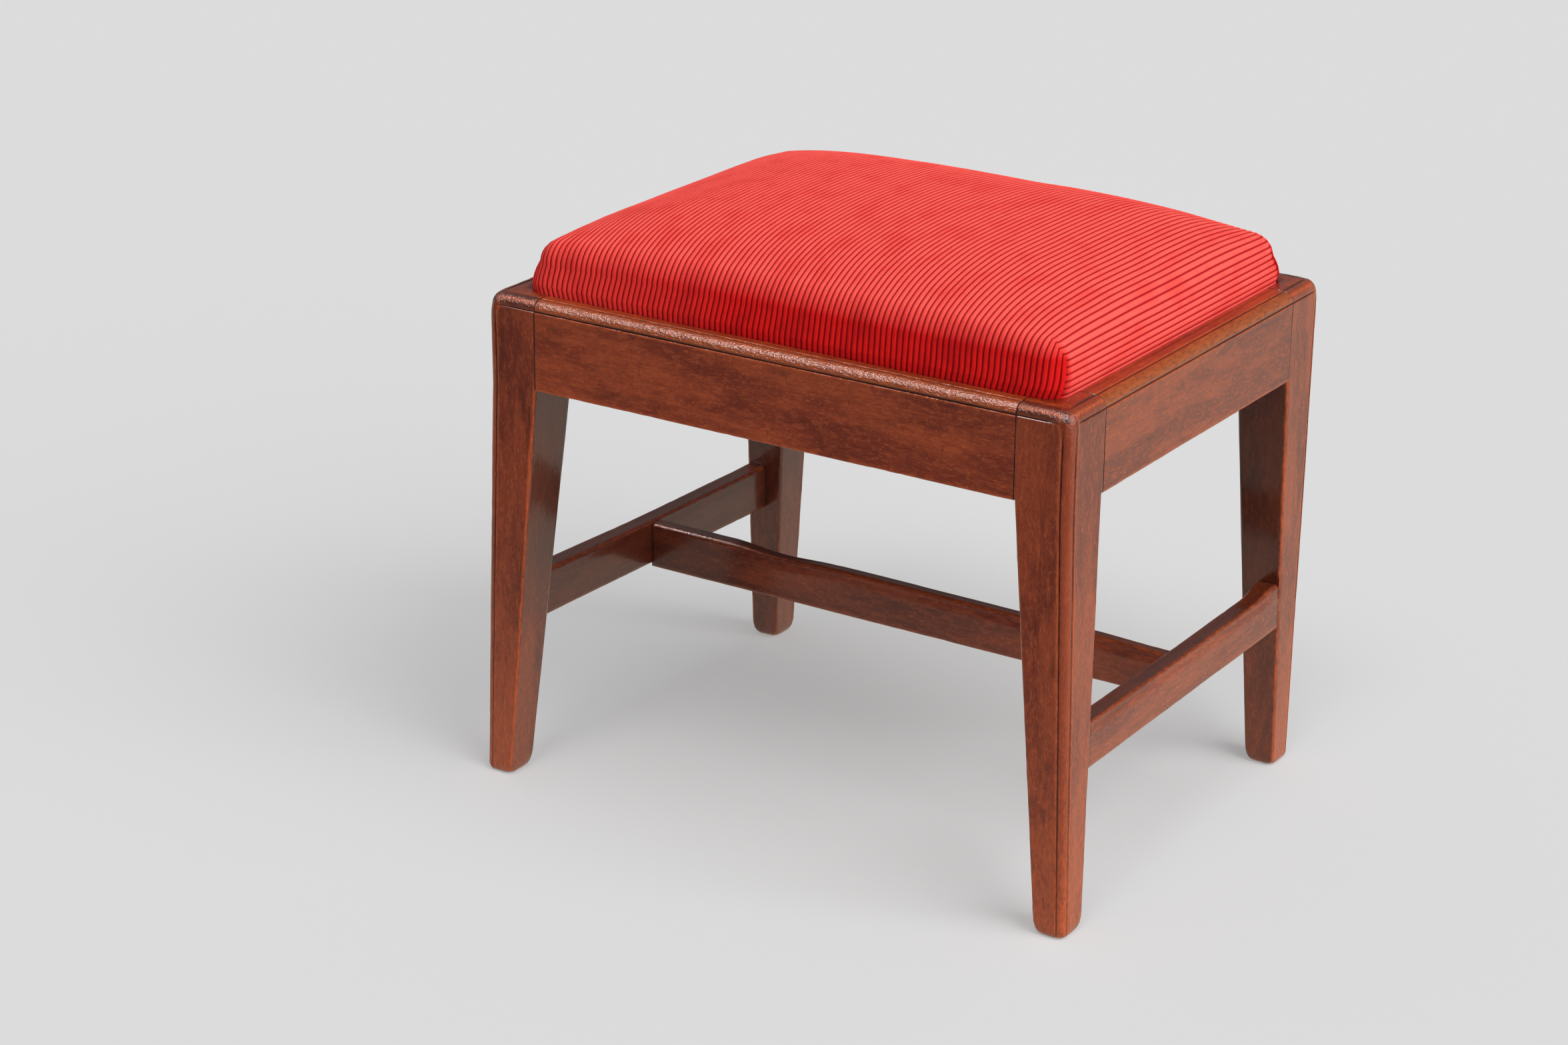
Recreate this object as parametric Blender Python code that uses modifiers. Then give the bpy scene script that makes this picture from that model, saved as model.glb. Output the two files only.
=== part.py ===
"""A small mahogany stool with a drop-in seat, modelled as the separate pieces it is joined from.

Metres, +Z up. X runs along the stool and Y from its front (-Y) to its back. The origin lies on the floor,
in the middle of the box that the stool fills. The joinery is modelled: rails and stretchers are tenoned
into the legs, and the upholstered seat lies loose in a rebate.
"""

import math
from collections import namedtuple

import bmesh
import bpy
from mathutils import Matrix, Vector

# Driving dimensions of the frame
LENGTH = 0.326
DEPTH = 0.254
FRAME_HEIGHT = 0.260
RAIL_DEPTH = 0.046
RAIL_THICKNESS = 0.024
JOINT_GAP = 0.0003
OVERRUN = 0.004

# Legs, square above the rails' lower edge and tapered on the two inside faces below it
LEG_FRONT_WIDTH = 0.0285
LEG_SIDE_WIDTH = 0.031
FOOT_FRONT_WIDTH = 0.015
FOOT_SIDE_WIDTH = 0.0175
FOOT_ROUNDING = 0.0018
FOOT_ROUNDING_SHARE = 0.3

# How far each foot has crept with age: outwards along the stool, and inwards from front and back
FRONT_LEFT_FOOT_OUT = 0.009
FRONT_RIGHT_FOOT_OUT = 0.003
BACK_LEFT_FOOT_IN = 0.002
FRONT_FOOT_SETBACK = 0.003
BACK_LEFT_FOOT_SETBACK = 0.005
BACK_RIGHT_FOOT_SETBACK = 0.003

# The bead between two scratched quirks on every outer edge
BEAD_WIDTH = 0.005
LEG_BEAD_WIDTH = 0.0044
FOOT_BEAD_WIDTH = 0.0035
BEAD_DROP = 0.0002
QUIRK_WIDTH = 0.0009
QUIRK_DEPTH = 0.0008
BEAD_STEPS = 5

# The rebate that carries the seat
END_LAND = 0.014
SIDE_LAND = 0.0115
REBATE_DEPTH = 0.013
WELL_CORNER_RADIUS = 0.007

# Tenons of the rails
TENON_SETBACK = 0.008
TENON_THICKNESS = 0.008
TENON_SHOULDER = 0.006
TENON_WEB = 0.0015
TENON_ROOT = 0.005

# Stretchers
STRETCHER_DEPTH = 0.0245
SIDE_STRETCHER_THICKNESS = 0.012
SIDE_STRETCHER_BOTTOM = 0.0798
STRETCHER_SETBACK = 0.0006
MIDDLE_STRETCHER_THICKNESS = 0.009
MIDDLE_STRETCHER_DROP = 0.002
STRETCHER_TENON_LENGTH_SHARE = 0.55
STRETCHER_TENON_DEPTH_SHARE = 0.72
STRETCHER_TENON_THICKNESS_SHARE = 0.5

# Glue blocks in the corners of the rails
BLOCK_LEG = 0.036
BLOCK_BOTTOM_RISE = 0.003
BLOCK_CLEARANCE = 0.002

# The loose seat frame
SEAT_CLEARANCE = 0.0006
LAYER_GAP = 0.0003
SEAT_MEMBER_WIDTH = 0.038
SEAT_MEMBER_THICKNESS = 0.015
SEAT_TENON_LENGTH = 0.015
SEAT_TENON_SHOULDER = 0.005
SEAT_TENON_THICKNESS = 0.005

# Webbing and hessian over the seat frame
WEBBING_WIDTH = 0.050
WEBBING_THICKNESS = 0.001
LONG_STRAP_COUNT = 2
CROSS_STRAP_COUNT = 3
WEBBING_END_SETBACK = 0.004
HESSIAN_THICKNESS = 0.0006
HESSIAN_SETBACK = 0.007

# The cushion: cover, stuffing and the shape they share. Its grid has a last inner line near the rim
COVER_THICKNESS = 0.0012
STUFFING_GAP = 0.0005
CUSHION_RISE = 0.0235
CROWN_HEIGHT = 0.019
CROWN_POWER = 4
SHOULDER_RADIUS = 0.0095
CUSHION_CORNER_RADIUS = 0.0115
CUSHION_LEAN = 0.0027
CUSHION_CELLS_ALONG = 12
CUSHION_CELLS_ACROSS = 10
LAST_SHARE = 0.95
SHOULDER_STEPS = 3
CORNER_STEPS = 2
MARGIN_BEYOND_TACKS = 0.007

# Upholstery tacks
TACK_HEAD_RADIUS = 0.003
TACK_HEAD_THICKNESS = 0.0008
TACK_SHANK_RADIUS = 0.0008
TACK_TIP_SHARE = 0.3
TACK_LENGTH = 0.008
TACK_CLEARANCE = 0.0002
TACK_EDGE_DISTANCE = 0.0025
TACK_SIDES = 6
COVER_TACK_PITCH = 0.052
WEBBING_TACK_INSET = 0.009

# Sizes that follow from those above
HALF_LENGTH = LENGTH / 2
HALF_DEPTH = DEPTH / 2
RAIL_BOTTOM = FRAME_HEIGHT - RAIL_DEPTH
LEDGE_HEIGHT = FRAME_HEIGHT - REBATE_DEPTH
WELL_HALF_LENGTH = HALF_LENGTH - END_LAND
WELL_HALF_DEPTH = HALF_DEPTH - SIDE_LAND
RAIL_INSIDE_X = HALF_LENGTH - RAIL_THICKNESS
RAIL_INSIDE_Y = HALF_DEPTH - RAIL_THICKNESS
LEG_INSIDE_X = HALF_LENGTH - LEG_FRONT_WIDTH
LEG_INSIDE_Y = HALF_DEPTH - LEG_SIDE_WIDTH
TENON_BOTTOM = RAIL_BOTTOM + TENON_SHOULDER
TENON_TOP = LEDGE_HEIGHT - TENON_SHOULDER / 2
LONG_RAIL_TENON = LEG_FRONT_WIDTH - TENON_SETBACK - TENON_THICKNESS - TENON_WEB
SHORT_RAIL_TENON = LEG_SIDE_WIDTH - TENON_SETBACK - TENON_THICKNESS - TENON_WEB
SIDE_STRETCHER_MIDDLE = SIDE_STRETCHER_BOTTOM + STRETCHER_DEPTH / 2
MIDDLE_STRETCHER_MIDDLE = SIDE_STRETCHER_MIDDLE - MIDDLE_STRETCHER_DROP

COVER_HALF_LENGTH = WELL_HALF_LENGTH - SEAT_CLEARANCE
COVER_HALF_DEPTH = WELL_HALF_DEPTH - SEAT_CLEARANCE
COVER_BOTTOM = LEDGE_HEIGHT + LAYER_GAP
WRAP = COVER_THICKNESS + LAYER_GAP
SEAT_HALF_LENGTH = COVER_HALF_LENGTH - WRAP
SEAT_HALF_DEPTH = COVER_HALF_DEPTH - WRAP
SEAT_FRAME_BOTTOM = COVER_BOTTOM + WRAP
SEAT_FRAME_TOP = SEAT_FRAME_BOTTOM + SEAT_MEMBER_THICKNESS
SEAT_INSIDE_X = SEAT_HALF_LENGTH - SEAT_MEMBER_WIDTH
SEAT_INSIDE_Y = SEAT_HALF_DEPTH - SEAT_MEMBER_WIDTH
SEAT_CORNER_RADIUS = CUSHION_CORNER_RADIUS - WRAP
LEAN_START = max(FRAME_HEIGHT, SEAT_FRAME_TOP + LAYER_GAP)
WALL_TOP = FRAME_HEIGHT + CUSHION_RISE - SHOULDER_RADIUS
STRAP_LOW = SEAT_FRAME_TOP + LAYER_GAP + WEBBING_THICKNESS / 2
STRAP_HIGH = STRAP_LOW + WEBBING_THICKNESS + LAYER_GAP
HESSIAN_BOTTOM = STRAP_HIGH + WEBBING_THICKNESS / 2 + LAYER_GAP
STUFFING_BOTTOM = HESSIAN_BOTTOM + HESSIAN_THICKNESS + LAYER_GAP
TACK_LINE_X = RAIL_INSIDE_X - TACK_HEAD_RADIUS - TACK_EDGE_DISTANCE
TACK_LINE_Y = RAIL_INSIDE_Y - TACK_HEAD_RADIUS - TACK_EDGE_DISTANCE
BLOCK_BOTTOM = RAIL_BOTTOM + BLOCK_BOTTOM_RISE
BLOCK_TOP = LEDGE_HEIGHT - TACK_HEAD_THICKNESS - BLOCK_CLEARANCE
FOOT_RIGHT_REACH = HALF_LENGTH + FRONT_RIGHT_FOOT_OUT
FOOT_LEFT_REACH = HALF_LENGTH + FRONT_LEFT_FOOT_OUT
FRAME_CENTRE_X = (FOOT_RIGHT_REACH - FOOT_LEFT_REACH) / 2

# A leg stands at one corner: side_x and side_y are its signs, then how far its foot stands out and in
Leg = namedtuple("Leg", "name side_x side_y foot_out foot_in")
LEGS = (
    Leg("front_left", -1, -1, FRONT_LEFT_FOOT_OUT, FRONT_FOOT_SETBACK),
    Leg("front_right", 1, -1, FRONT_RIGHT_FOOT_OUT, FRONT_FOOT_SETBACK),
    Leg("back_right", 1, 1, 0, BACK_RIGHT_FOOT_SETBACK),
    Leg("back_left", -1, 1, -BACK_LEFT_FOOT_IN, BACK_LEFT_FOOT_SETBACK),
)

# A box by its middle, its size and its turn about the vertical
Box = namedtuple("Box", "middle size turn")

# Colour, roughness and metallic value of each kind of material
FINISHES = {
    "mahogany": ((0.16, 0.034, 0.018), 0.28, 0.0),
    "pine": ((0.42, 0.24, 0.11), 0.7, 0.0),
    "beech": ((0.55, 0.36, 0.20), 0.65, 0.0),
    "webbing": ((0.42, 0.33, 0.20), 0.9, 0.0),
    "hessian": ((0.36, 0.25, 0.13), 0.95, 0.0),
    "hair": ((0.10, 0.07, 0.05), 0.95, 0.0),
    "corduroy": ((0.72, 0.025, 0.022), 0.85, 0.0),
    "blued_steel": ((0.08, 0.085, 0.10), 0.45, 1.0),
}


# Helpers: collections, pieces, cutters and Booleans

def new_collection(name):
    """A collection of this name, linked to the scene."""
    collection = bpy.data.collections.new(name)
    bpy.context.scene.collection.children.link(collection)
    return collection


def new_empty(name, location, parent=None):
    """An empty that pieces are parented to."""
    empty = bpy.data.objects.new(name, None)
    empty.location = location
    empty.parent = parent
    PARTS.objects.link(empty)
    return empty


def new_material(name, finish):
    """A Principled material of a named finish, for one piece."""
    colour, roughness, metallic = FINISHES[finish]
    material = bpy.data.materials.new(name)
    material.use_nodes = True
    shader = material.node_tree.nodes["Principled BSDF"]
    shader.inputs["Base Color"].default_value = (*colour, 1)
    shader.inputs["Roughness"].default_value = roughness
    shader.inputs["Metallic"].default_value = metallic
    return material


def to_object(name, bm, parent, collection):
    """Make an object of a bmesh drawn in stool coordinates, with its origin in its own middle."""
    low = Vector(min(v.co[axis] for v in bm.verts) for axis in range(3))
    high = Vector(max(v.co[axis] for v in bm.verts) for axis in range(3))
    middle = (low + high) / 2
    bmesh.ops.translate(bm, verts=bm.verts, vec=-middle)
    mesh = bpy.data.meshes.new(name)
    bm.to_mesh(mesh)
    bm.free()
    obj = bpy.data.objects.new(name, mesh)
    obj.parent = parent
    obj.matrix_parent_inverse = Matrix.Translation(-EMPTY_PLACES[parent.name])
    obj.location = middle
    collection.objects.link(obj)
    return obj


def new_piece(name, bm, finish, parent):
    """A named sub-part of the stool, closed, facing outwards and with its own material."""
    bmesh.ops.recalc_face_normals(bm, faces=bm.faces)
    obj = to_object(name, bm, parent, PARTS)
    obj.data.materials.append(new_material(name, finish))
    return obj


def new_cutter(name, bm):
    """A solid that only shapes others: drawn as wire and left out of the render."""
    bmesh.ops.recalc_face_normals(bm, faces=bm.faces)
    obj = to_object(name, bm, FRAME_EMPTY, CUTTERS)
    obj.display_type = "WIRE"
    obj.hide_render = True
    return obj


def shape_with(obj, tool, operation):
    """Join a tool to a piece, or cut it away, with an exact Boolean."""
    modifier = obj.modifiers.new(tool.name, "BOOLEAN")
    modifier.operation = operation
    modifier.solver = "EXACT"
    modifier.object = tool


def add_box(bm, box):
    """Add a box to a bmesh and give back its vertices."""
    place = Matrix.Translation(box.middle) @ Matrix.Rotation(box.turn, 4, "Z")
    size = Matrix.Diagonal((*box.size, 1))
    return bmesh.ops.create_cube(bm, size=1, matrix=place @ size)["verts"]


def span_box(low, high):
    """The upright box between two opposite corners, given in any order."""
    first = Vector(low)
    second = Vector(high)
    size = Vector(abs(a - b) for a, b in zip(first, second))
    return Box((first + second) / 2, size, 0)


def grown(box, margin):
    """The same box with a margin added on every face."""
    return Box(box.middle, box.size + Vector((margin, margin, margin)) * 2, box.turn)


def boxes(box_list):
    """A bmesh that holds each of these boxes as a body of its own."""
    bm = bmesh.new()
    for box in box_list:
        add_box(bm, box)
    return bm


def loft(bm, rings, closed=False):
    """Skin rings of matching points with quads, and cap the two ends or join them into a loop."""
    loops = [[bm.verts.new(point) for point in ring] for ring in rings]
    pairs = list(zip(loops, loops[1:]))
    if closed:
        pairs.append((loops[-1], loops[0]))
    else:
        bm.faces.new(loops[0])
        bm.faces.new(loops[-1])
    for near, far in pairs:
        for index in range(len(near)):
            following = (index + 1) % len(near)
            bm.faces.new((near[index], near[following], far[following], far[index]))


def trim(bm, point, outward):
    """Cut a solid off at a plane and close the cut."""
    geometry = bm.verts[:] + bm.edges[:] + bm.faces[:]
    bmesh.ops.bisect_plane(bm, geom=geometry, plane_co=point, plane_no=outward, clear_outer=True)
    open_edges = [edge for edge in bm.edges if edge.is_boundary]
    bmesh.ops.holes_fill(bm, edges=open_edges)


def round_edges(bm, edges, radius, segments):
    """Round some edges with a bevel."""
    bmesh.ops.bevel(bm, geom=edges, offset=radius, segments=segments, affect="EDGES", profile=0.5)


def upright_edges(verts):
    """The vertical edges among the edges of these vertices."""
    found = {edge for vert in verts for edge in vert.link_edges}
    return [e for e in found if e.verts[0].co.xy == e.verts[1].co.xy]


# The scratched moulding: a bead between two quirks

def bead_profile(width):
    """Points of the bead from one face to the next, as distances inward from each of the two faces."""
    radius = width - BEAD_DROP
    far = width + QUIRK_WIDTH
    middle = width + QUIRK_WIDTH / 2
    points = [(far, 0), (middle, QUIRK_DEPTH)]
    for step in range(BEAD_STEPS + 1):
        angle = math.radians(90) * step / BEAD_STEPS
        points.append((width - radius * math.sin(angle), width - radius * math.cos(angle)))
    points += [(QUIRK_DEPTH, middle), (0, far)]
    return points


def build_edge_cutter():
    """The waste that is scratched off the frame's top outer edge, all round, mitred at the corners."""
    reach = BEAD_WIDTH + QUIRK_WIDTH
    profile = bead_profile(BEAD_WIDTH)
    profile += [(-OVERRUN, reach), (-OVERRUN, -OVERRUN), (reach, -OVERRUN)]
    rings = []
    for leg in LEGS:
        ring = []
        for inward, down in profile:
            x = leg.side_x * (HALF_LENGTH - inward)
            y = leg.side_y * (HALF_DEPTH - inward)
            ring.append((x, y, FRAME_HEIGHT - down))
        rings.append(ring)
    bm = bmesh.new()
    loft(bm, rings, closed=True)
    return new_cutter("edge_waste", bm)


def build_well_cutter():
    """The well that the seat drops into, down to the ledge of the rebate."""
    bm = bmesh.new()
    low = (-WELL_HALF_LENGTH, -WELL_HALF_DEPTH, LEDGE_HEIGHT)
    high = (WELL_HALF_LENGTH, WELL_HALF_DEPTH, FRAME_HEIGHT + OVERRUN)
    verts = add_box(bm, span_box(low, high))
    round_edges(bm, upright_edges(verts), WELL_CORNER_RADIUS, BEAD_STEPS)
    return new_cutter("seat_well", bm)


# Legs

def taper_share(height):
    """How far down the taper a height lies: 0 at the rails' lower edge, 1 on the floor."""
    return max(0, 1 - height / RAIL_BOTTOM)


def leg_corner(leg, height):
    """The leg's sharp outer corner, in plan, at a height."""
    share = taper_share(height)
    x = leg.side_x * (HALF_LENGTH + leg.foot_out * share)
    y = leg.side_y * (HALF_DEPTH - leg.foot_in * share)
    return x, y


def leg_widths(height):
    """The leg's width on its front face and on its side face at a height."""
    share = taper_share(height)
    front = LEG_FRONT_WIDTH + (FOOT_FRONT_WIDTH - LEG_FRONT_WIDTH) * share
    side = LEG_SIDE_WIDTH + (FOOT_SIDE_WIDTH - LEG_SIDE_WIDTH) * share
    return front, side


def leg_outline(leg, height, shrink):
    """The leg's section at a height, drawn in from its faces by a small shrink."""
    corner_x, corner_y = leg_corner(leg, height)
    front, side = leg_widths(height)
    width = LEG_BEAD_WIDTH + (FOOT_BEAD_WIDTH - LEG_BEAD_WIDTH) * taper_share(height)
    outline = bead_profile(width) + [(0, side), (front, side), (front, 0)]
    points = []
    for inward_x, inward_y in outline:
        inward_x = shrink + inward_x * (1 - 2 * shrink / front)
        inward_y = shrink + inward_y * (1 - 2 * shrink / side)
        points.append((corner_x - leg.side_x * inward_x, corner_y - leg.side_y * inward_y, height))
    return points


def build_leg(leg, mortises):
    """One leg, with its bead, its taper, its rounded foot and the mortises cut in it."""
    halfway = FOOT_ROUNDING * FOOT_ROUNDING_SHARE
    levels = [(0, FOOT_ROUNDING), (halfway, halfway), (FOOT_ROUNDING, 0), (RAIL_BOTTOM, 0), (FRAME_HEIGHT, 0)]
    bm = bmesh.new()
    loft(bm, [leg_outline(leg, height, shrink) for height, shrink in levels])
    obj = new_piece("leg_" + leg.name, bm, "mahogany", FRAME_EMPTY)
    shape_with(obj, new_cutter("mortises_" + leg.name, mortises), "DIFFERENCE")
    shape_with(obj, WELL_CUTTER, "DIFFERENCE")
    shape_with(obj, EDGE_CUTTER, "DIFFERENCE")


# Rails

def long_rail_tenon(leg):
    """The tenon of the front or back rail in this leg."""
    inside = leg.side_x * (LEG_INSIDE_X - TENON_ROOT)
    end = leg.side_x * (LEG_INSIDE_X + LONG_RAIL_TENON)
    outer = leg.side_y * (HALF_DEPTH - TENON_SETBACK)
    inner = leg.side_y * (HALF_DEPTH - TENON_SETBACK - TENON_THICKNESS)
    return span_box((inside, inner, TENON_BOTTOM), (end, outer, TENON_TOP))


def short_rail_tenon(leg):
    """The tenon of the left or right rail in this leg."""
    inside = leg.side_y * (LEG_INSIDE_Y - TENON_ROOT)
    end = leg.side_y * (LEG_INSIDE_Y + SHORT_RAIL_TENON)
    outer = leg.side_x * (HALF_LENGTH - TENON_SETBACK)
    inner = leg.side_x * (HALF_LENGTH - TENON_SETBACK - TENON_THICKNESS)
    return span_box((inner, inside, TENON_BOTTOM), (outer, end, TENON_TOP))


def build_rail(name, body, tenons):
    """One seat rail: its body, a tenon at each end, the rebate and the moulded edge."""
    obj = new_piece("rail_" + name, boxes([body]), "mahogany", FRAME_EMPTY)
    shape_with(obj, new_cutter("tenons_rail_" + name, boxes(tenons)), "UNION")
    shape_with(obj, WELL_CUTTER, "DIFFERENCE")
    shape_with(obj, EDGE_CUTTER, "DIFFERENCE")


def build_rails():
    """The four seat rails, flush with the legs' outer faces."""
    front_left, front_right, back_right, back_left = LEGS
    end_x = LEG_INSIDE_X - JOINT_GAP
    end_y = LEG_INSIDE_Y - JOINT_GAP
    for name, side, pair in (("front", -1, (front_left, front_right)), ("back", 1, (back_left, back_right))):
        body = span_box((-end_x, side * RAIL_INSIDE_Y, RAIL_BOTTOM), (end_x, side * HALF_DEPTH, FRAME_HEIGHT))
        build_rail(name, body, [long_rail_tenon(leg) for leg in pair])
    for name, side, pair in (("left", -1, (front_left, back_left)), ("right", 1, (front_right, back_right))):
        body = span_box((side * RAIL_INSIDE_X, -end_y, RAIL_BOTTOM), (side * HALF_LENGTH, end_y, FRAME_HEIGHT))
        build_rail(name, body, [short_rail_tenon(leg) for leg in pair])


# Stretchers

def side_stretcher_line(front_leg, back_leg):
    """The side stretcher's centre line, from leg to leg, and its turn in plan."""
    ends = []
    for leg in (front_leg, back_leg):
        corner_x, corner_y = leg_corner(leg, SIDE_STRETCHER_MIDDLE)
        side_width = leg_widths(SIDE_STRETCHER_MIDDLE)[1]
        inward = STRETCHER_SETBACK + SIDE_STRETCHER_THICKNESS / 2
        x = corner_x - leg.side_x * inward
        y = corner_y - leg.side_y * side_width / 2
        ends.append(Vector((x, y, SIDE_STRETCHER_MIDDLE)))
    along = ends[1] - ends[0]
    return ends, along.normalized(), math.atan2(-along.x, along.y)


def inside_face(leg, height):
    """How far the leg's inside face stands from the middle of the stool, along Y, at a height."""
    return abs(leg_corner(leg, height)[1]) - leg_widths(height)[1]


def shoulder_plane(leg, line_x):
    """A point on the leg's inside face at the side stretcher, and the face's direction into the leg."""
    bottom = SIDE_STRETCHER_MIDDLE - STRETCHER_DEPTH / 2
    top = SIDE_STRETCHER_MIDDLE + STRETCHER_DEPTH / 2
    rise = inside_face(leg, bottom) - inside_face(leg, top)
    into_leg = Vector((0, leg.side_y * (top - bottom), rise)).normalized()
    point = Vector((line_x, leg.side_y * inside_face(leg, SIDE_STRETCHER_MIDDLE), SIDE_STRETCHER_MIDDLE))
    return point, into_leg


def side_stretcher_tenon(leg, ends, along, turn):
    """The tenon of a side stretcher in one of its two legs."""
    sign = leg.side_y
    start = ends[0] if sign < 0 else ends[1]
    point, into_leg = shoulder_plane(leg, start.x)
    share = (point.y - ends[0].y) / (ends[1].y - ends[0].y)
    shoulder = ends[0].lerp(ends[1], share)
    length = leg_widths(SIDE_STRETCHER_MIDDLE)[1] * STRETCHER_TENON_LENGTH_SHARE
    middle = shoulder + along * sign * (length - TENON_ROOT) / 2
    thickness = SIDE_STRETCHER_THICKNESS * STRETCHER_TENON_THICKNESS_SHARE
    depth = STRETCHER_DEPTH * STRETCHER_TENON_DEPTH_SHARE
    return Box(middle, Vector((thickness, length + TENON_ROOT, depth)), turn)


def build_side_stretcher(name, front_leg, back_leg, mortise):
    """One side stretcher, shouldered against the tapered legs it is tenoned into."""
    ends, along, turn = side_stretcher_line(front_leg, back_leg)
    size = Vector((SIDE_STRETCHER_THICKNESS, (ends[1] - ends[0]).length, STRETCHER_DEPTH))
    bm = boxes([Box((ends[0] + ends[1]) / 2, size, turn)])
    for leg in (front_leg, back_leg):
        point, into_leg = shoulder_plane(leg, ends[0].x)
        trim(bm, point - into_leg * JOINT_GAP, into_leg)
    obj = new_piece("stretcher_" + name, bm, "mahogany", FRAME_EMPTY)
    tenons = [side_stretcher_tenon(leg, ends, along, turn) for leg in (front_leg, back_leg)]
    shape_with(obj, new_cutter("tenons_stretcher_" + name, boxes(tenons)), "UNION")
    shape_with(obj, new_cutter("mortise_stretcher_" + name, boxes([grown(mortise, JOINT_GAP)])), "DIFFERENCE")


def middle_shoulder(side_x, front_leg, back_leg):
    """Where the middle stretcher meets a side stretcher: a point on its inner face and the way into it."""
    ends, along, turn = side_stretcher_line(front_leg, back_leg)
    inward = Vector((-side_x * along.y, side_x * along.x, 0))
    share = -ends[0].y / (ends[1].y - ends[0].y)
    point = ends[0].lerp(ends[1], share) + inward * SIDE_STRETCHER_THICKNESS / 2
    point.z = MIDDLE_STRETCHER_MIDDLE
    return point, -inward


def middle_tenon(side_x, front_leg, back_leg):
    """The tenon of the middle stretcher in one side stretcher."""
    point = middle_shoulder(side_x, front_leg, back_leg)[0]
    length = SIDE_STRETCHER_THICKNESS * STRETCHER_TENON_LENGTH_SHARE
    half_thickness = MIDDLE_STRETCHER_THICKNESS * STRETCHER_TENON_THICKNESS_SHARE / 2
    half_depth = STRETCHER_DEPTH * STRETCHER_TENON_DEPTH_SHARE / 2
    low = (point.x - side_x * TENON_ROOT, -half_thickness, point.z - half_depth)
    high = (point.x + side_x * length, half_thickness, point.z + half_depth)
    return span_box(low, high)


def build_middle_stretcher(tenons):
    """The cross stretcher, cut between the two side stretchers."""
    half_thickness = MIDDLE_STRETCHER_THICKNESS / 2
    low = (-HALF_LENGTH, -half_thickness, MIDDLE_STRETCHER_MIDDLE - STRETCHER_DEPTH / 2)
    high = (HALF_LENGTH, half_thickness, MIDDLE_STRETCHER_MIDDLE + STRETCHER_DEPTH / 2)
    bm = boxes([span_box(low, high)])
    for side_x, (front_leg, back_leg) in SIDES.items():
        point, outward = middle_shoulder(side_x, front_leg, back_leg)
        trim(bm, point - outward * JOINT_GAP, outward)
    obj = new_piece("stretcher_middle", bm, "mahogany", FRAME_EMPTY)
    shape_with(obj, new_cutter("tenons_stretcher_middle", boxes(tenons)), "UNION")


# Glue blocks

def build_corner_block(leg):
    """A three-cornered block rubbed into the corner of two rails, notched round the leg."""
    near_x = RAIL_INSIDE_X - JOINT_GAP
    near_y = RAIL_INSIDE_Y - JOINT_GAP
    far_x = near_x - BLOCK_LEG
    far_y = near_y - BLOCK_LEG
    low = (leg.side_x * far_x, leg.side_y * far_y, BLOCK_BOTTOM)
    high = (leg.side_x * near_x, leg.side_y * near_y, BLOCK_TOP)
    bm = boxes([span_box(low, high)])
    trim(bm, (leg.side_x * far_x, leg.side_y * near_y, BLOCK_BOTTOM), (-leg.side_x, -leg.side_y, 0))
    obj = new_piece("corner_block_" + leg.name, bm, "pine", FRAME_EMPTY)
    notch_x = leg.side_x * (LEG_INSIDE_X - JOINT_GAP)
    notch_y = leg.side_y * (LEG_INSIDE_Y - JOINT_GAP)
    outer_x = leg.side_x * HALF_LENGTH
    outer_y = leg.side_y * HALF_DEPTH
    notch = span_box((notch_x, notch_y, RAIL_BOTTOM), (outer_x, outer_y, LEDGE_HEIGHT))
    shape_with(obj, new_cutter("notch_" + leg.name, boxes([notch])), "DIFFERENCE")


# The loose seat frame

def seat_tenon(side_x, side_y):
    """The tenon of a short seat member in a long one."""
    inner = side_x * (SEAT_INSIDE_X + SEAT_TENON_SHOULDER)
    outer = side_x * (SEAT_HALF_LENGTH - SEAT_TENON_SHOULDER)
    root = side_y * (SEAT_INSIDE_Y - TENON_ROOT)
    end = side_y * (SEAT_INSIDE_Y + SEAT_TENON_LENGTH)
    middle = (SEAT_FRAME_BOTTOM + SEAT_FRAME_TOP) / 2
    half = SEAT_TENON_THICKNESS / 2
    return span_box((inner, root, middle - half), (outer, end, middle + half))


def build_seat_frame(tack_holes):
    """The four beech members, long ones in front and behind, short ones tenoned between them."""
    for name, side_y in (("front", -1), ("back", 1)):
        low = (-SEAT_HALF_LENGTH, side_y * SEAT_INSIDE_Y, SEAT_FRAME_BOTTOM)
        high = (SEAT_HALF_LENGTH, side_y * SEAT_HALF_DEPTH, SEAT_FRAME_TOP)
        bm = bmesh.new()
        verts = add_box(bm, span_box(low, high))
        corners = [v for v in verts if v.co.y * side_y > SEAT_INSIDE_Y + SEAT_MEMBER_WIDTH / 2]
        round_edges(bm, upright_edges(corners), SEAT_CORNER_RADIUS, CORNER_STEPS)
        obj = new_piece("seat_frame_" + name, bm, "beech", SEAT_EMPTY)
        mortises = [grown(seat_tenon(side_x, side_y), JOINT_GAP) for side_x in (-1, 1)]
        shape_with(obj, new_cutter("mortises_seat_" + name, boxes(mortises)), "DIFFERENCE")
        for holes in tack_holes:
            shape_with(obj, holes, "DIFFERENCE")
    end_y = SEAT_INSIDE_Y - JOINT_GAP
    for name, side_x in (("left", -1), ("right", 1)):
        low = (side_x * SEAT_INSIDE_X, -end_y, SEAT_FRAME_BOTTOM)
        high = (side_x * SEAT_HALF_LENGTH, end_y, SEAT_FRAME_TOP)
        obj = new_piece("seat_frame_" + name, boxes([span_box(low, high)]), "beech", SEAT_EMPTY)
        tenons = [seat_tenon(side_x, side_y) for side_y in (-1, 1)]
        shape_with(obj, new_cutter("tenons_seat_" + name, boxes(tenons)), "UNION")
        for holes in tack_holes:
            shape_with(obj, holes, "DIFFERENCE")


# Webbing and hessian

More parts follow.
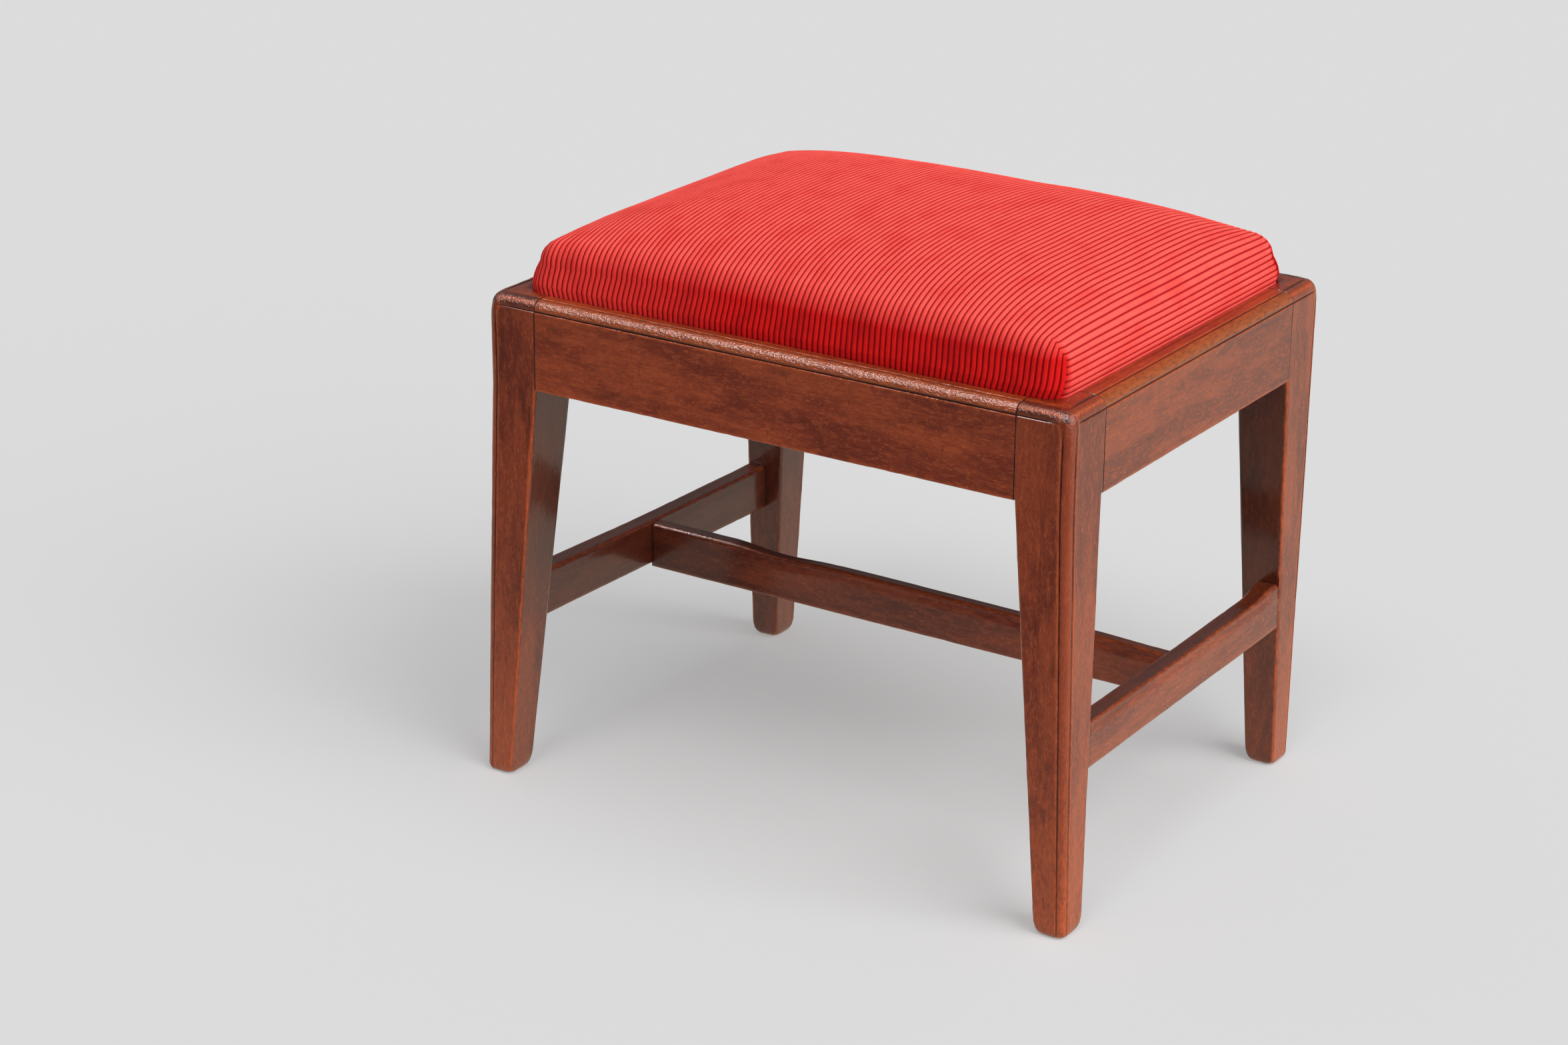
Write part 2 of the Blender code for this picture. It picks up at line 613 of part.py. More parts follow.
def strap_centres(count, half_opening):
    """The middle lines of side-by-side straps that share the opening of the seat frame evenly."""
    pitch = 2 * half_opening / count
    return [pitch * (index - (count - 1) / 2) for index in range(count)]


LONG_STRAPS = strap_centres(LONG_STRAP_COUNT, SEAT_INSIDE_Y)
CROSS_STRAPS = strap_centres(CROSS_STRAP_COUNT, SEAT_INSIDE_X)


def strap_stations(half_length, half_opening, crossings, first_over):
    """Places along a strap with its height there: low on the frame, and over and under in turn."""
    stations = [(-half_length, STRAP_LOW), (-half_opening, STRAP_LOW)]
    half_crossing = WEBBING_WIDTH / 2 + LAYER_GAP
    for index, crossing in enumerate(crossings):
        over = (index % 2 == 0) == first_over
        height = STRAP_HIGH if over else STRAP_LOW
        stations += [(crossing - half_crossing, height), (crossing + half_crossing, height)]
    stations += [(half_opening, STRAP_LOW), (half_length, STRAP_LOW)]
    return stations


def build_strap(name, stations, centre, along_x, holes):
    """One webbing strap: a band bent over and under its neighbours, given its thickness by Solidify."""
    bm = bmesh.new()
    bmesh.ops.create_grid(bm, x_segments=len(stations) - 1, y_segments=1, size=1)
    columns = sorted({round(v.co.x, 4) for v in bm.verts})
    for vert in bm.verts:
        place, height = stations[columns.index(round(vert.co.x, 4))]
        across = centre + math.copysign(WEBBING_WIDTH / 2, vert.co.y)
        vert.co = (place, across, height) if along_x else (across, place, height)
    obj = new_piece("webbing_" + name, bm, "webbing", SEAT_EMPTY)
    solidify = obj.modifiers.new("thickness", "SOLIDIFY")
    solidify.thickness = WEBBING_THICKNESS
    solidify.offset = 0
    shape_with(obj, holes, "DIFFERENCE")


def build_webbing(holes):
    """Two long straps and three cross straps, interlaced."""
    half_length = SEAT_HALF_LENGTH - WEBBING_END_SETBACK
    half_depth = SEAT_HALF_DEPTH - WEBBING_END_SETBACK
    for index, name in enumerate(("long_front", "long_back")):
        stations = strap_stations(half_length, SEAT_INSIDE_X, CROSS_STRAPS, index == 0)
        build_strap(name, stations, LONG_STRAPS[index], True, holes)
    for index, name in enumerate(("cross_left", "cross_middle", "cross_right")):
        stations = strap_stations(half_depth, SEAT_INSIDE_Y, LONG_STRAPS, index == 1)
        build_strap(name, stations, CROSS_STRAPS[index], False, holes)


def build_hessian():
    """The hessian stretched over the webbing."""
    half_length = SEAT_HALF_LENGTH - HESSIAN_SETBACK
    half_depth = SEAT_HALF_DEPTH - HESSIAN_SETBACK
    low = (-half_length, -half_depth, HESSIAN_BOTTOM)
    high = (half_length, half_depth, HESSIAN_BOTTOM + HESSIAN_THICKNESS)
    new_piece("base_hessian", boxes([span_box(low, high)]), "hessian", SEAT_EMPTY)


# The cushion's shape

def ring_point(share_x, share_y, half_x, half_y, radius):
    """A point of a rounded rectangle, for a rim vertex of the grid that it came from."""
    straight_x = half_x - radius
    straight_y = half_y - radius
    bend = radius * math.sqrt(0.5)
    if abs(share_x) > LAST_SHARE and abs(share_y) > LAST_SHARE:
        return math.copysign(straight_x + bend, share_x), math.copysign(straight_y + bend, share_y)
    if abs(share_y) > LAST_SHARE:
        return share_x / LAST_SHARE * straight_x, math.copysign(half_y, share_y)
    if abs(share_x) > LAST_SHARE:
        return math.copysign(half_x, share_x), share_y / LAST_SHARE * straight_y
    return share_x / LAST_SHARE * straight_x, share_y / LAST_SHARE * straight_y


def grid_shares(cells):
    """Places of the grid lines: even over the middle, then one narrow cell at each rim."""
    inner = cells - 2
    return [-1] + [LAST_SHARE * (2 * step / inner - 1) for step in range(inner + 1)] + [1]


def cushion_surface(inset, bottom, margin):
    """The cushion's skin, drawn in by an inset, open below: crown, shoulders, sides and turned-under margin."""
    half_x = COVER_HALF_LENGTH - inset
    half_y = COVER_HALF_DEPTH - inset
    crown_x = half_x - CUSHION_LEAN
    crown_y = half_y - CUSHION_LEAN
    corner = CUSHION_CORNER_RADIUS - inset
    shoulder = SHOULDER_RADIUS - inset
    base = FRAME_HEIGHT + CUSHION_RISE - inset

    def crown(x, y):
        along = 1 - min(1, abs(x / crown_x)) ** CROWN_POWER
        across = 1 - min(1, abs(y / crown_y)) ** CROWN_POWER
        return base + CROWN_HEIGHT * along * across

    bm = bmesh.new()
    bmesh.ops.create_grid(bm, x_segments=CUSHION_CELLS_ALONG, y_segments=CUSHION_CELLS_ACROSS, size=1)
    shares_x = grid_shares(CUSHION_CELLS_ALONG)
    shares_y = grid_shares(CUSHION_CELLS_ACROSS)
    shares = {}
    for vert in bm.verts:
        column = round((vert.co.x + 1) / 2 * CUSHION_CELLS_ALONG)
        row = round((vert.co.y + 1) / 2 * CUSHION_CELLS_ACROSS)
        share_x, share_y = shares_x[column], shares_y[row]
        x, y = ring_point(share_x, share_y, crown_x - shoulder, crown_y - shoulder, corner - shoulder)
        vert.co = (x, y, crown(x, y))
        shares[vert] = (share_x, share_y)

    rings = []
    for step in range(1, SHOULDER_STEPS + 1):
        angle = math.radians(90) * step / SHOULDER_STEPS
        out = shoulder * (1 - math.sin(angle))
        drop = shoulder * (1 - math.cos(angle))
        rings.append((crown_x - out, crown_y - out, corner - out, drop, None))
    for height in sorted({bottom, max(bottom, LEAN_START)}, reverse=True):
        lean = CUSHION_LEAN * max(0, (height - LEAN_START) / (WALL_TOP - LEAN_START))
        rings.append((half_x - lean, half_y - lean, corner, 0, height))
    if margin:
        margin_x = TACK_LINE_X - MARGIN_BEYOND_TACKS
        margin_y = TACK_LINE_Y - MARGIN_BEYOND_TACKS
        rings.append((margin_x, margin_y, COVER_THICKNESS, 0, bottom))
    for ring_x, ring_y, radius, drop, height in rings:
        rim = [edge for edge in bm.edges if edge.is_boundary]
        extruded = bmesh.ops.extrude_edge_only(bm, edges=rim)["geom"]
        fresh = [item for item in extruded if isinstance(item, bmesh.types.BMVert)]
        ring_shares = {}
        for vert in fresh:
            neighbours = [edge.other_vert(vert) for edge in vert.link_edges]
            ring_shares[vert] = next(shares[near] for near in neighbours if near in shares)
            x, y = ring_point(*ring_shares[vert], ring_x, ring_y, radius)
            vert.co = (x, y, crown(x, y) - drop if height is None else height)
        shares.update(ring_shares)
    return bm


def face_up(bm):
    """Turn an open skin so that its top faces up."""
    bmesh.ops.recalc_face_normals(bm, faces=bm.faces)
    highest = max(bm.faces, key=lambda face: face.calc_center_median().z)
    if highest.normal.z < 0:
        bmesh.ops.reverse_faces(bm, faces=bm.faces)


def build_cover(holes):
    """The corduroy cover: one skin over the crown and down the sides, turned under and open below."""
    bm = cushion_surface(0, COVER_BOTTOM, margin=True)
    face_up(bm)
    for face in bm.faces:
        face.smooth = True
    obj = to_object("corduroy_cover", bm, SEAT_EMPTY, PARTS)
    obj.data.materials.append(new_material("corduroy_cover", "corduroy"))
    solidify = obj.modifiers.new("thickness", "SOLIDIFY")
    solidify.thickness = COVER_THICKNESS
    solidify.offset = -1
    solidify.use_even_offset = True
    shape_with(obj, holes, "DIFFERENCE")


def build_stuffing():
    """The stuffing that gives the cushion its crown, flat where it lies on the hessian."""
    bm = cushion_surface(COVER_THICKNESS + STUFFING_GAP, STUFFING_BOTTOM, margin=False)
    bmesh.ops.holes_fill(bm, edges=[edge for edge in bm.edges if edge.is_boundary])
    new_piece("hair_stuffing", bm, "hair", SEAT_EMPTY)


# Tacks

def spread(half_span, pitch):
    """Evenly spaced places that fill a span at about this pitch."""
    count = max(2, round(2 * half_span / pitch) + 1)
    return [half_span * (2 * index / (count - 1) - 1) for index in range(count)]


def cover_tack_places():
    """Where the tacks go through the turned-under cover, clear of the ledge, the legs and the joints."""
    long_reach = LEG_INSIDE_X - TACK_HEAD_RADIUS - TACK_EDGE_DISTANCE
    short_reach = SEAT_INSIDE_Y - JOINT_GAP - TACK_HEAD_RADIUS - TACK_EDGE_DISTANCE
    places = [(x, side * TACK_LINE_Y) for side in (-1, 1) for x in spread(long_reach, COVER_TACK_PITCH)]
    places += [(side * TACK_LINE_X, y) for side in (-1, 1) for y in spread(short_reach, COVER_TACK_PITCH)]
    return places


def webbing_tack_places():
    """One tack in the middle of each end of each strap."""
    line_x = SEAT_HALF_LENGTH - WEBBING_TACK_INSET
    line_y = SEAT_HALF_DEPTH - WEBBING_TACK_INSET
    places = [(side * line_x, centre) for side in (-1, 1) for centre in LONG_STRAPS]
    places += [(centre, side * line_y) for side in (-1, 1) for centre in CROSS_STRAPS]
    return places


def tack_ring(x, y, radius, height):
    """One ring of a tack's outline."""
    angles = [math.tau * step / TACK_SIDES for step in range(TACK_SIDES)]
    return [(x + radius * math.cos(angle), y + radius * math.sin(angle), height) for angle in angles]


def build_tack_mesh():
    """One tack with its head's outer face at the origin and its shank pointing up."""
    outline = (
        (TACK_HEAD_RADIUS, 0),
        (TACK_HEAD_RADIUS, TACK_HEAD_THICKNESS),
        (TACK_SHANK_RADIUS, TACK_HEAD_THICKNESS),
        (TACK_SHANK_RADIUS * TACK_TIP_SHARE, TACK_HEAD_THICKNESS + TACK_LENGTH),
    )
    bm = bmesh.new()
    loft(bm, [tack_ring(0, 0, radius, height) for radius, height in outline])
    bmesh.ops.recalc_face_normals(bm, faces=bm.faces)
    mesh = bpy.data.meshes.new("tack")
    bm.to_mesh(mesh)
    bm.free()
    mesh.materials.append(new_material("tack", "blued_steel"))
    return mesh


def place_tacks(prefix, mesh, places, head_height, turn):
    """Tacks that share one mesh, each its own object, turned about X to point up or down."""
    for number, (x, y) in enumerate(places, start=1):
        obj = bpy.data.objects.new(f"{prefix}_{number:02d}", mesh)
        obj.parent = SEAT_EMPTY
        obj.matrix_parent_inverse = Matrix.Translation(-EMPTY_PLACES[SEAT_EMPTY.name])
        obj.location = (x, y, head_height)
        obj.rotation_euler.x = turn
        PARTS.objects.link(obj)


def build_tack_holes(name, places, neck, direction):
    """The holes that the tacks' shanks make in cloth and wood."""
    radius = TACK_SHANK_RADIUS + TACK_CLEARANCE
    end = neck + direction * (TACK_LENGTH + TACK_CLEARANCE)
    bm = bmesh.new()
    for x, y in places:
        loft(bm, [tack_ring(x, y, radius, height) for height in (neck, end)])
    return new_cutter(name, bm)


# Build

for old_object in list(bpy.data.objects):
    bpy.data.objects.remove(old_object, do_unlink=True)

PARTS = new_collection("mahogany_stool")
CUTTERS = new_collection("cutters")
EMPTY_PLACES = {"stool_origin": Vector(), "seat_lift": Vector((0, 0, LEDGE_HEIGHT))}
FRAME_EMPTY = new_empty("stool_origin", (-FRAME_CENTRE_X, 0, 0))
SEAT_EMPTY = new_empty("seat_lift", EMPTY_PLACES["seat_lift"], FRAME_EMPTY)
EDGE_CUTTER = build_edge_cutter()
WELL_CUTTER = build_well_cutter()
SIDES = {-1: (LEGS[0], LEGS[3]), 1: (LEGS[1], LEGS[2])}

build_rails()
MIDDLE_TENONS = {side_x: middle_tenon(side_x, *pair) for side_x, pair in SIDES.items()}
build_middle_stretcher(list(MIDDLE_TENONS.values()))
for side_name, side_sign in (("left", -1), ("right", 1)):
    build_side_stretcher(side_name, *SIDES[side_sign], MIDDLE_TENONS[side_sign])
for stool_leg in LEGS:
    stretcher = side_stretcher_line(*SIDES[stool_leg.side_x])
    tenon_list = [long_rail_tenon(stool_leg), short_rail_tenon(stool_leg)]
    tenon_list.append(side_stretcher_tenon(stool_leg, *stretcher))
    build_leg(stool_leg, boxes([grown(tenon, JOINT_GAP) for tenon in tenon_list]))
    build_corner_block(stool_leg)

COVER_TACK_NECK = COVER_BOTTOM - LAYER_GAP
WEBBING_TACK_NECK = STRAP_LOW + WEBBING_THICKNESS / 2 + LAYER_GAP
cover_places = cover_tack_places()
webbing_places = webbing_tack_places()
cover_holes = build_tack_holes("cover_tack_holes", cover_places, COVER_TACK_NECK, 1)
webbing_holes = build_tack_holes("webbing_tack_holes", webbing_places, WEBBING_TACK_NECK, -1)
build_seat_frame((cover_holes, webbing_holes))
build_webbing(webbing_holes)
build_hessian()
build_stuffing()
build_cover(cover_holes)
tack = build_tack_mesh()
place_tacks("cover_tack", tack, cover_places, COVER_TACK_NECK - TACK_HEAD_THICKNESS, 0)
place_tacks("webbing_tack", tack, webbing_places, WEBBING_TACK_NECK + TACK_HEAD_THICKNESS, math.pi)
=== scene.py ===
# %% [markdown]
# A small mahogany stool with a drop-in seat, dressed for its picture.
#
# The stool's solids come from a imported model, the frame. This lesson lays a finely worked skin over them:
# planed and moulded wood with softened edges, and a stuffed seat under wide-wale corduroy. Each step says
# what the real thing is, how it could be made in Blender, and why this way was chosen.

import math

import bmesh
import bpy
from mathutils import Matrix, Vector, noise
from mathutils.bvhtree import BVHTree
from mathutils.interpolate import poly_3d_calc


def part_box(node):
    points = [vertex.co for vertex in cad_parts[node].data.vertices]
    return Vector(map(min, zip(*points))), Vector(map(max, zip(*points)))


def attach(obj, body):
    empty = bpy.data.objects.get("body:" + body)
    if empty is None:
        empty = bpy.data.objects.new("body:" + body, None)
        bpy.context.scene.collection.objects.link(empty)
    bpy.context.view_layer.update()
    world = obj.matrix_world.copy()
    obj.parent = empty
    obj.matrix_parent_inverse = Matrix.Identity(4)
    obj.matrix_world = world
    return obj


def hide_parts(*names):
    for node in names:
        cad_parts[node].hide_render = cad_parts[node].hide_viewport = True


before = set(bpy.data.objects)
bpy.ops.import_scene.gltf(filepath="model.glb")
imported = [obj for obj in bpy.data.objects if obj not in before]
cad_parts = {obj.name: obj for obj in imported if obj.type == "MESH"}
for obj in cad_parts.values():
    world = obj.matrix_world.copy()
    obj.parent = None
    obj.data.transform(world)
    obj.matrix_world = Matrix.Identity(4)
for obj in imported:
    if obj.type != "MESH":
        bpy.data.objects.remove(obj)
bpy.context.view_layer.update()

# %% [markdown]
# The camera stands where the photograph was taken from. Its place, turn and lens were solved from the
# stool's own straight edges, so the picture is framed by a few named values and not by eye.

# %% Camera
MM = 0.001
IMAGE_WIDTH = 2352
FOCAL_PIXELS = 5167.5
SENSOR_WIDTH = 36
CAMERA_PLACE = (0.84566, -1.39222, 0.75561)
CAMERA_AZIMUTH = 33.30
CAMERA_ELEVATION = 20.92
CAMERA_ROLL = 0.415


def put_in_scene(name, data):
    """Make an object of a camera, a light or a mesh, and link it to the scene."""
    made = bpy.data.objects.new(name, data)
    bpy.context.scene.collection.objects.link(made)
    return made


camera_data = bpy.data.cameras.new("camera")
camera_data.sensor_width = SENSOR_WIDTH
camera_data.lens = FOCAL_PIXELS * SENSOR_WIDTH / IMAGE_WIDTH
camera = put_in_scene("camera", camera_data)
turn = Matrix.Rotation(math.radians(CAMERA_AZIMUTH), 4, "Z")
tilt = Matrix.Rotation(math.radians(90 - CAMERA_ELEVATION), 4, "X")
roll = Matrix.Rotation(math.radians(CAMERA_ROLL), 4, "Z")
camera.matrix_world = Matrix.Translation(CAMERA_PLACE) @ turn @ tilt @ roll
bpy.context.scene.camera = camera
print("lens:", round(camera_data.lens, 2), "mm")

# %% [markdown]
# Studio light. The stool's right-hand faces are about twice as bright as its front ones, its shadow lies to
# the left, and the floor is evenly lit. Lamps that stand close would light the floor in pools, so the soft
# boxes are suns with a wide disc. Two come from the right, one low and one high, and a smaller one stands
# high in front: it lights the front faces but not what lies under the seat. With the world's fill they add
# up to about 1 on a level surface, so that a colour renders about as it is written.

# %% Light
# Where each light comes from, the width of its disc in degrees and its strength.
LIGHTS = {
    "side_light": ((0.86, -0.16, 0.50), 60, 2.25),
    "high_light": ((0.55, -0.07, 0.83), 40, 0.95),
    "front_light": ((0.08, -0.50, 0.86), 22, 0.73),
}
for name, (direction, disc_degrees, strength) in LIGHTS.items():
    light = bpy.data.lights.new(name, "SUN")
    light.angle = math.radians(disc_degrees)
    light.energy = strength
    put_in_scene(name, light).rotation_euler = Vector(direction).to_track_quat("Z", "Y").to_euler()
    print(name, strength)

# %% [markdown]
# A world can be three things at once, because a light path knows what kind of ray is asking: a fill light
# for the shadows, a dim room for reflections, and the pale backdrop for the camera. The dim room has one
# window, high on the left in front. It lights nothing, but the bead along the front mirrors it.

# %% World
BACKGROUND = "#DBDBDB"
STUDIO_WHITE = "#F6F6F8"
FILL_STRENGTH = 0.27
ROOM_STRENGTH = 0.16
WINDOW_STRENGTH = 22
WINDOW_DIRECTION = Vector((-0.30, -0.40, 0.86)).normalized()
# How nearly a ray points at the window where its glow begins and where it is full, as cosines.
WINDOW_GLOW = 0.93
WINDOW_FULL = 0.985


def to_linear(hex_colour):
    """An sRGB hex colour as the linear values that shaders work with."""
    channels = [int(hex_colour[start:start + 2], 16) / 255 for start in (1, 3, 5)]
    return tuple(c / 12.92 if c <= 0.04045 else ((c + 0.055) / 1.055) ** 2.4 for c in channels) + (1,)


def set_inputs(node, inputs):
    """Give a node's inputs their values, hex colours or links."""
    for name, value in inputs.items():
        if isinstance(value, bpy.types.NodeSocket):
            node.id_data.links.new(value, node.inputs[name])
        else:
            node.inputs[name].default_value = to_linear(value) if isinstance(value, str) else value


def add_node(tree, kind, inputs=None, output=None, **settings):
    """Add a shader node with its settings and inputs, and return its one output or the named one."""
    node = tree.nodes.new("ShaderNode" + kind)
    for name, value in settings.items():
        setattr(node, name, value)
    set_inputs(node, inputs or {})
    if output:
        return node.outputs[output]
    return next((socket for socket in node.outputs if socket.enabled), None)


world = bpy.data.worlds.new("studio")
bpy.context.scene.world = world
world.use_nodes = True
tree = world.node_tree
tree.nodes.clear()
looking = add_node(tree, "TexCoord", output="Object")
facing = add_node(tree, "VectorMath", {0: looking, 1: WINDOW_DIRECTION}, operation="DOT_PRODUCT")
window = add_node(tree, "MapRange", {"Value": facing, "From Min": WINDOW_GLOW, "From Max": WINDOW_FULL,
                                     "To Min": ROOM_STRENGTH, "To Max": WINDOW_STRENGTH},
                  interpolation_type="SMOOTHSTEP")
fill_light = add_node(tree, "Background", {"Color": STUDIO_WHITE, "Strength": FILL_STRENGTH})
dim_room = add_node(tree, "Background", {"Color": STUDIO_WHITE, "Strength": window})
backdrop = add_node(tree, "Background", {"Color": BACKGROUND, "Strength": 1})
camera_ray = add_node(tree, "LightPath", output="Is Camera Ray")
glossy_ray = add_node(tree, "LightPath", output="Is Glossy Ray")
unseen = add_node(tree, "MixShader", {0: glossy_ray, 1: fill_light, 2: dim_room})
studio = add_node(tree, "MixShader", {0: camera_ray, 1: unseen, 2: backdrop})
add_node(tree, "OutputWorld", {"Surface": studio})
print("world: fill", FILL_STRENGTH, "room", ROOM_STRENGTH, "window", WINDOW_STRENGTH)

# %% [markdown]
# The floor is matt paper. A part of what the camera sees of it is the backdrop's own colour, so the shadows
# stay as faint as they are in the photograph. In reflections it darkens towards the front, where the studio
# is dark: that is why the front faces look deep and the right-hand ones milky.

# %% Floor
FLOOR_REACH = 12
FLOOR_LIFT = 0.4
DARK_FRONT = -0.5


def new_material(name):
    """A material of this name, with its node tree and its shader."""
    material = bpy.data.materials.new(name)
    material.use_nodes = True
    return material, material.node_tree, material.node_tree.nodes["Principled BSDF"]


def lay_colours(tree, colour, layers, rise="SMOOTHSTEP"):
    """Lay colours over one, each where its pattern rises from a start to an end, up to its cover."""
    for pattern, start, end, cover, over in layers:
        share = add_node(tree, "MapRange", {"Value": pattern, "From Min": start, "From Max": end,
                                            "To Max": cover}, interpolation_type=rise)
        # Inputs 6 and 7 are the two colours of a mix.
        colour = add_node(tree, "Mix", {0: share, 6: colour, 7: over}, data_type="RGBA")
    return colour


paper, tree, matt = new_material("matt_studio_paper")
set_inputs(matt, {"Base Color": "#D8D8D8", "Roughness": 1, "Specular IOR Level": 0})
place = add_node(tree, "TexCoord", output="Object")
towards_back = add_node(tree, "SeparateXYZ", {0: place}, "Y")
reflected = lay_colours(tree, "#505050", [(towards_back, DARK_FRONT, 0, 1, "#CAC7B8")])
mirrored = add_node(tree, "Emission", {"Color": reflected, "Strength": 1})
level = add_node(tree, "Emission", {"Color": BACKGROUND, "Strength": 1})
camera_ray = add_node(tree, "LightPath", output="Is Camera Ray")
glossy_ray = add_node(tree, "LightPath", output="Is Glossy Ray")
lifted = add_node(tree, "Math", {0: camera_ray, 1: FLOOR_LIFT}, operation="MULTIPLY")
seen = add_node(tree, "MixShader", {0: lifted, 1: matt.outputs[0], 2: level})
surface = add_node(tree, "MixShader", {0: glossy_ray, 1: seen, 2: mirrored})
set_inputs(tree.nodes["Material Output"], {"Surface": surface})

bm = bmesh.new()
bmesh.ops.create_grid(bm, x_segments=1, y_segments=1, size=FLOOR_REACH)
floor_mesh = bpy.data.meshes.new("floor")
bm.to_mesh(floor_mesh)
floor_mesh.materials.append(paper)
floor = put_in_scene("floor", floor_mesh)
bpy.context.scene.view_settings.view_transform = "Standard"
print("floor:", 2 * FLOOR_REACH, "m square, of matt paper")

# %% [markdown]
# Mahogany under old French polish. The wood is a warm red-brown with a soft, mottled figure that lies
# along the grain, short dark pores, stains, and a thin glossy coat of shellac. Hands and feet have rubbed
# the edges back to orange, and wax and dust have filled the scratched quirks with a grey brown. Shade is
# painted into the colour as well: the legs' inner faces and the faces that look to the front and back,
# the stretchers' tops and the left-hand stretchers are laid darker, as painted shade. The pattern is built
# on object coordinates, stretched along each piece's grain, and four numbers that are painted on the
# vertices (wear, quirk, bead and shade) say where the finish changes and where the shade is painted.

# %% Mahogany's patterns and colours
# Noise patterns: length along the grain and width across it in millimetres, detail, distortion.
WOOD_PATTERNS = {
    "cloud": (80, 18, 2, 0),
    "figure": (7, 2.4, 5, 0.8),
    "flecks": (2.4, 0.8, 3, 0.5),
    "fibre": (30, 0.5, 3, 0),
    "pores": (2.4, 0.28, 2, 0),
    "stain": (34, 8, 5, 0.5),
    "nicks": (0.5, 6, 2, 0.4),
    "rub": (4.5, 1.3, 4, 0),
    "pits": (1.7, 1.1, 3, 0),
}
# Patterns that break up what is painted on the vertices: the painted number and the noise.
PATTERN_PRODUCTS = {
    "rubbed": ("wear", "rub"),
    "dented": ("bead", "rub"),
    "pitted": ("edge", "pits"),
    "filled": ("quirk", "rub"),
}
# Colours laid one over another: the pattern, where it starts and is full, how much it covers, the colour.
DARKEST_WOOD = "#6E2713"
WOOD_LAYERS = (
    ("cloud", 0.40, 0.62, 0.70, "#98401D"),
    ("figure", 0.45, 0.64, 0.32, "#B75426"),
    ("flecks", 0.54, 0.70, 0.37, "#CF6A2D"),
    ("fibre", 0.45, 0.65, 0.35, "#5C1F0F"),
    ("stain", 0.54, 0.70, 0.42, "#3C160C"),
    ("pores", 0.60, 0.70, 0.60, "#30120A"),
    ("nicks", 0.66, 0.72, 0.55, "#2C1009"),
)
RUBBED_LAYERS = (
    # The first layer is painted shade, laid where the shade number says.
    ("shade", 0.00, 1.00, 0.70, "#34180F"),
    ("dented", 0.42, 0.62, 0.40, "#3A160A"),
    ("rubbed", 0.12, 0.66, 0.85, "#BE521C"),
    ("filled", 0.05, 0.50, 0.92, "#26140C"),
)
GRAIN_TURN = {"x": (0, 0, 0), "y": (0, 0, math.radians(-90)), "z": (0, math.radians(90), 0)}


# %% Mahogany
def grain_space(tree, grain, board_place):
    """The piece's own coordinates, turned until X lies along the grain, at its own place in a board."""
    own = add_node(tree, "TexCoord", output="Object")
    return add_node(tree, "Mapping", {0: own, "Rotation": GRAIN_TURN[grain], "Location": board_place})


def noise_patterns(tree, space, table, unit=1, roughness=0.5):
    """Noise by name, from a table of length and width in millimetres, detail and distortion."""
    patterns = {}
    for key, (length, width, detail, distortion) in table.items():
        scale = (unit / (length * MM), unit / (width * MM), unit / (width * MM))
        stretched = add_node(tree, "Mapping", {0: space, "Scale": scale})
        patterns[key] = add_node(tree, "TexNoise", {0: stretched, "Scale": 1, "Detail": detail,
                                                    "Roughness": roughness, "Distortion": distortion})
    return patterns


def mahogany(name, grain, offset, bead_colour, top_colour):
    """French-polished mahogany with its grain along one axis. The offset cuts it from a board of its own."""
    material, tree, shader = new_material(name)
    space = grain_space(tree, grain, (offset, offset * 1.7, offset * 0.6))
    patterns = noise_patterns(tree, space, WOOD_PATTERNS, roughness=0.6)
    for key in ("wear", "quirk", "bead", "shade"):
        patterns[key] = add_node(tree, "Attribute", output="Fac", attribute_name=key)
    patterns["edge"] = add_node(tree, "Math", {0: patterns["wear"], 1: patterns["bead"]}, operation="ADD")
    for key, (painted, grains) in PATTERN_PRODUCTS.items():
        patterns[key] = add_node(tree, "Math", {0: patterns[painted], 1: patterns[grains]},
                                 operation="MULTIPLY")
    bead_layers = (("bead", 0.1, 0.4, 0.5, bead_colour), ("bead", 0.6, 0.9, 0.8, top_colour))
    layers = [(patterns[key], *look) for key, *look in (*WOOD_LAYERS, *bead_layers, *RUBBED_LAYERS)]

    # Relief: fibres and pores all over, soft waves, and bruises on the bead that catch the light.
    fine = add_node(tree, "Math", {0: patterns["pores"], 1: -0.5, 2: patterns["fibre"]},
                    operation="MULTIPLY_ADD")
    bumps = ((fine, 0.28, 0.04), (patterns["figure"], 0.5, 0.12), (patterns["pitted"], 0.9, 0.5))
    normal = {}
    for height, strength, depth in bumps:
        bump = {"Strength": strength, "Distance": depth * MM, "Height": height, **normal}
        normal = {"Normal": add_node(tree, "Bump", bump)}

    # Shellac: a thin clear coat over wood that is itself a little glossy.
    gloss = add_node(tree, "MapRange", {"Value": patterns["figure"], "From Min": 0.3, "From Max": 0.7,
                                        "To Min": 0.34, "To Max": 0.46})
    colour = lay_colours(tree, DARKEST_WOOD, layers)
    set_inputs(shader, {"Base Color": colour, "Roughness": gloss, "IOR": 1.45, "Specular IOR Level": 0.3,
                        "Coat Weight": 0.8, "Coat Roughness": 0.1, "Coat IOR": 1.5,
                        "Normal": normal["Normal"], "Coat Normal": normal["Normal"]})
    return material


print("mahogany:", len(WOOD_PATTERNS), "noise patterns,", len(WOOD_LAYERS) + len(RUBBED_LAYERS), "layers")

# %% [markdown]
# Planed wood. A block starts as a cube. Lines of edges are run round it where shape is needed, close
# together at the moulded edge and even along the length. The moulding itself is made as a joiner makes it,
# with a scratch stock: every vertex near the edge is pressed onto the cutter's profile, a bead between two
# quirks. Last, the block is weathered by small moves along its normals, most on its edges.

